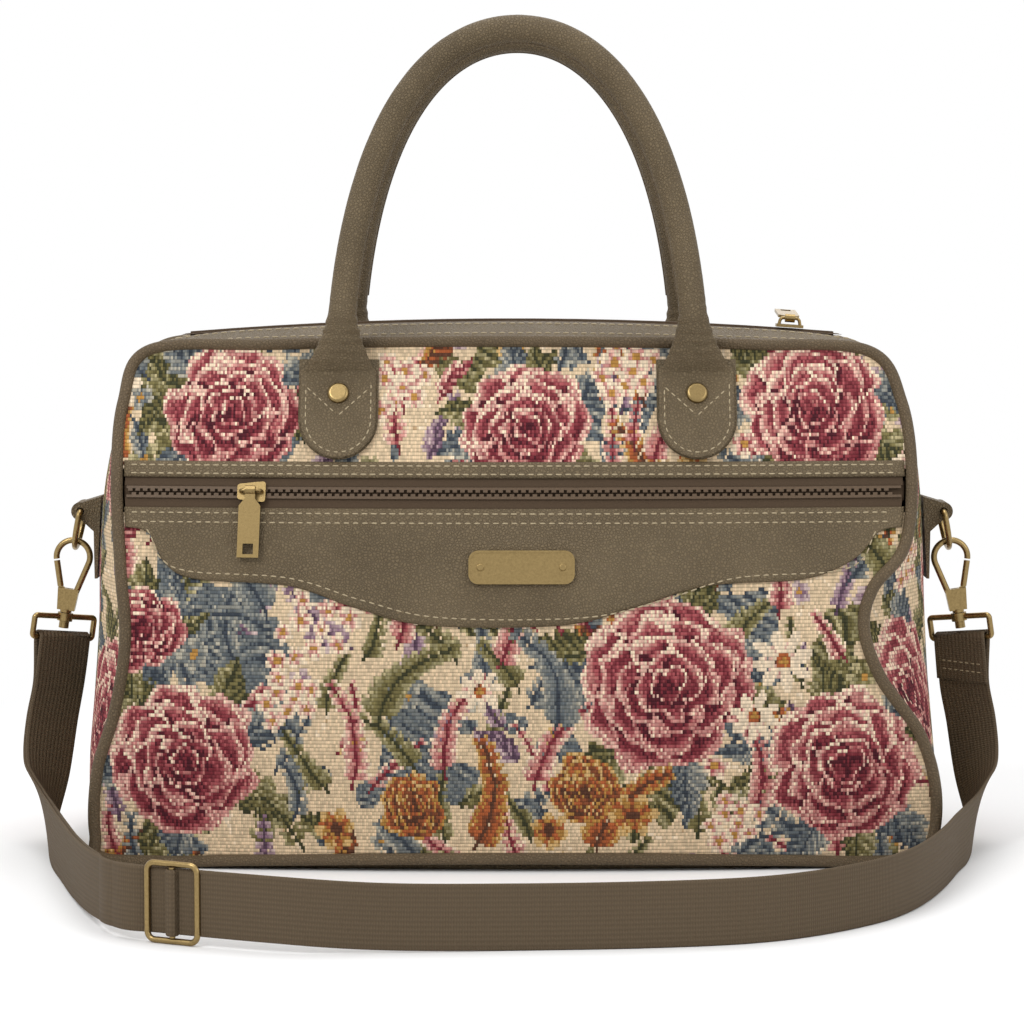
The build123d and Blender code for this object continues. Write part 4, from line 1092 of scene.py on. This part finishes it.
def grip_seam(name, flip, node):
    """Lapped edge of the hide along the inside of the grip."""
    path = grip_line(HANDLE_RADIUS - 0.25, flip)[3:-3]
    thing = tube(name, even(path, 2.0), 0.75, PIPING_HIDE, sides=8)


both("{}_grip_seam", grip_seam, "{}_handle")

# Shoulder strap: one length of webbing through both swivel eyes
HOOK_APEX = np.array([240.507, 0.0, 166.186])
AXIS_DOWN = np.array([0.147809, 0.0, -0.989016])
EYE_ACROSS = np.array([0.779355, -0.615661, 0.116475])
BAG_SIDE = np.array([-0.608899, -0.788011, -0.091001])
EYE_BAR = HOOK_APEX + 54.5 * AXIS_DOWN
EYE_WRAP, BAR_WRAP = 3.05, 2.45
STRAP_WIDTH, STRAP_THICKNESS, LAYER = 32.0, 1.6, 1.85
STAND = STRAP_WIDTH / 2 + 0.05
DOWN = np.array([0, 0, -1.0])
MIRROR = np.array([-1.0, 1, 1])
# Hanging band below the right eye: its centre, and the share of its turn to upright
HANG = [((250.5, 4.0, 88), 0.0), ((254.5, 3.5, 66), 0.1), ((256.5, -3, 45), 0.3), ((256, -18, 29), 0.6),
        ((251, -44, 18.8), 0.85)]
# The band on its edge on the floor: x, y and lift
RIGHT_FLOOR = [(242, -76, 0), (234, -102, 0), (223, -140, 0), (211, -175, 0), (197, -206, 0), (178, -234, 0),
               (145, -264, 0), (110, -282, 0), (60, -292, 0), (0, -297, 0), (-60, -301, 1.0)]
LEFT_FLOOR = [(-112, -301, 4.3), (-186, -266, 4.3), (-203, -228, 2.5), (-218, -178, 0.5), (-231, -128, 0),
              (-242, -84, 0)]
straight = np.array(LEFT_FLOOR[0][:2], float) - LEFT_FLOOR[1][:2]
HEADING = unit(straight)
OUTWARD = np.array([HEADING[1], -HEADING[0]])
ADJUSTER = np.array(LEFT_FLOOR[1][:2], float) + straight * ((-159.0 + 186) / straight[0])
ADJUSTER_SETBACK = 9.5
BAR_CENTRE = np.array([-160.881, -282.748, 20.1])


def on_side(side, spot, across):
    """Station of the band, mirrored for the left side."""
    return (spot * MIRROR, across * MIRROR) if side < 0 else (spot, across)


def hanging(side, lift):
    """Stations from the eye to the floor, raised by lift."""
    stations = []
    for place, share in HANG:
        outward = -BAG_SIDE * (1 - share) + np.array([1, 0.1, 0]) * share
        spot = np.array(place) + unit(outward) * lift
        stations.append(on_side(side, spot, -EYE_ACROSS * (1 - share) + DOWN * share))
    return stations


def wrap(side):
    """Half a turn round the bar of the eye."""
    turns = np.radians(np.arange(0, 181, 30))
    return [on_side(side, EYE_BAR + (BAG_SIDE * math.cos(turn) - AXIS_DOWN * math.sin(turn)) * EYE_WRAP,
                    -EYE_ACROSS) for turn in turns]


def return_layer():
    """The left end, folded back to the adjuster."""
    run = np.array(LEFT_FLOOR[::-1], float)
    stations = []
    for index in range(len(run) - 1):
        heading = unit(run[index + 1, :2] - run[max(index - 1, 0), :2])
        outward = np.array([heading[1], -heading[0]])
        if outward @ (run[index, :2] + (0, 120)) < 0:
            outward = -outward
        spot = run[index, :2] + outward * LAYER
        stations.append((np.array([*spot, STAND + run[index, 2]]), DOWN))
    last = ADJUSTER - HEADING * ADJUSTER_SETBACK + OUTWARD * LAYER
    stations.append((np.array([*last, STAND + run[-1, 2]]), DOWN))
    return stations


def webbing(name, stations, body="strap"):
    """Band of webbing through stations, each a centre and a direction across."""
    path = smooth_path([np.r_[spot, across * 12] for spot, across in stations], step=1.6)
    centre, across = path[:, :3], path[:, 3:]
    tangent = unit(np.gradient(centre, axis=0))
    across = unit(across - tangent * np.sum(across * tangent, axis=1)[:, None])
    normal = np.cross(tangent, across)
    half, thick = STRAP_WIDTH / 2, STRAP_THICKNESS / 2
    u = np.r_[-half + 0.5, np.linspace(-half + 2, half - 2, 9), half - 0.5]
    profile = np.array([(-half, 0)] + [(a, thick) for a in u] + [(half, 0)] + [(a, -thick) for a in u[::-1]])
    points = centre[:, None] + across[:, None] * profile[None, :, :1] + normal[:, None] * profile[None, :, 1:]
    faces = tube_faces(len(path), len(profile))
    thing = new_object(name, points.reshape(-1, 3), faces, STRAP_CLOTH, body)
    run = run_along(centre)
    set_uv(thing, stack(run[:, None], profile[None, :, 0]))
    return thing, run[-1], (centre, across, normal)


floor_run = [(np.array([x, y, STAND + lift]), DOWN) for x, y, lift in RIGHT_FLOOR + LEFT_FLOOR]
strap_stations = ([hanging(1, -LAYER)[0]] + wrap(1) + hanging(1, 0) + floor_run + hanging(-1, 0)[::-1]
                  + wrap(-1) + hanging(-1, LAYER) + return_layer())
strap, strap_length, strap_frame = webbing("strap_webbing", strap_stations)
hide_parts("shoulder_strap")
round(strap_length * MM, 3)

loop_stations = []
for turn in np.radians(np.arange(10, 351, 34)):
    spoke = HEADING * math.cos(turn) + OUTWARD * math.sin(turn)
    loop_stations.append((BAR_CENTRE + np.array([*spoke, 0]) * BAR_WRAP, DOWN))
end_loop = webbing("strap_end_webbing", loop_stations, "adjuster")[0]
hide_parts("strap_end_loop")


def strap_rows():
    """Two sewn rows across the turned end under the right eye."""
    centre, across, normal = strap_frame
    line = np.linspace(-13, 13, 14)[:, None]
    return [(centre[index] + across[index] * line + normal[index] * STRAP_THICKNESS / 2,
             np.broadcast_to(normal[index], (len(line), 3))) for index in (4, 7)]


stitches("strap_thread", strap_rows(), length=2.6, pitch=3.6, body="strap")


# Floor, light and camera
AMBIENT = 0.56
FLOOR_HALF = 6
# Lamps: place and size in metres, turn in degrees, power in watts
LAMPS = (("key", (-1.6, -2.0, 2.3), (42, 0, -38), 1.3, 40), ("fill", (2.0, -1.7, 1.5), (60, 0, 50), 1.6, 15),
         ("top", (0, 0.1, 2.6), (0, 0, 0), 1.8, 30), ("rear", (0, 2.2, 1.8), (-55, 0, 0), 2.0, 12))
CAMERA_PLACE, CAMERA_TILT, LENS, SENSOR = (0, -1.9, 0.342), 4.82, 121.7, 36


def seen_rays(tree):
    """One for what the camera or a reflection sees, else zero."""
    rays = tree.nodes.new("ShaderNodeLightPath").outputs
    return Value(rays["Is Camera Ray"]).maths("MAXIMUM", Value(rays["Is Glossy Ray"]))


def make_floor():
    """Pale floor that fades to plain white away from the bag."""
    corners = [(x * FLOOR_HALF, y * FLOOR_HALF, 0) for x, y in ((-1, -1), (1, -1), (1, 1), (-1, 1))]
    floor = bpy.data.meshes.new("floor")
    floor.from_pydata(corners, [], [(0, 1, 2, 3)])
    material, tree = new_material("pale_floor")
    shader = tree.nodes["Principled BSDF"]
    for name, value in (("Base Color", (0.9, 0.9, 0.9, 1)), ("Roughness", 0.95), ("Specular IOR Level", 0.0)):
        shader.inputs[name].default_value = value
    flat = add(tree, "VectorMath", {0: add(tree, "NewGeometry")[0], 1: (0.85, 1, 0)}, operation="MULTIPLY")[0]
    away = add(tree, "VectorMath", {0: flat}, operation="LENGTH")[1]
    fade = add(tree, "MapRange", {"Value": away, "From Min": 0.3, "From Max": 0.62},
               interpolation_type="SMOOTHSTEP")[0]
    blend = add(tree, "MixShader", {0: fade * seen_rays(tree), 1: Value(shader.outputs[0]),
                                    2: add(tree, "Emission")[0]})[0]
    set_socket(tree.nodes["Material Output"].inputs["Surface"], blend)
    floor.materials.append(material)
    return place_new("floor", floor)


def make_lamp(name, place, turn, size, power):
    lamp = bpy.data.lights.new(name, "AREA")
    lamp.size = size
    lamp.energy = power
    thing = place_new(name, lamp)
    thing.location = place
    thing.rotation_euler = [math.radians(v) for v in turn]
    return thing


def stage_scene():
    scene = bpy.context.scene
    make_floor()
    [make_lamp(*lamp) for lamp in LAMPS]
    world = bpy.data.worlds.new("soft_white")
    world.use_nodes = True
    tree = world.node_tree
    for index, value in enumerate(((1, 1, 1, 1), seen_rays(tree) * (1 - AMBIENT) + AMBIENT)):
        set_socket(tree.nodes["Background"].inputs[index], value)
    scene.world = world
    eye = bpy.data.cameras.new("camera")
    eye.lens = LENS
    eye.sensor_width = SENSOR
    camera = place_new("camera", eye)
    camera.location = CAMERA_PLACE
    camera.rotation_euler = (math.radians(90 - CAMERA_TILT), 0, 0)
    scene.camera = camera
    scene.view_settings.view_transform = "Standard"


stage_scene()
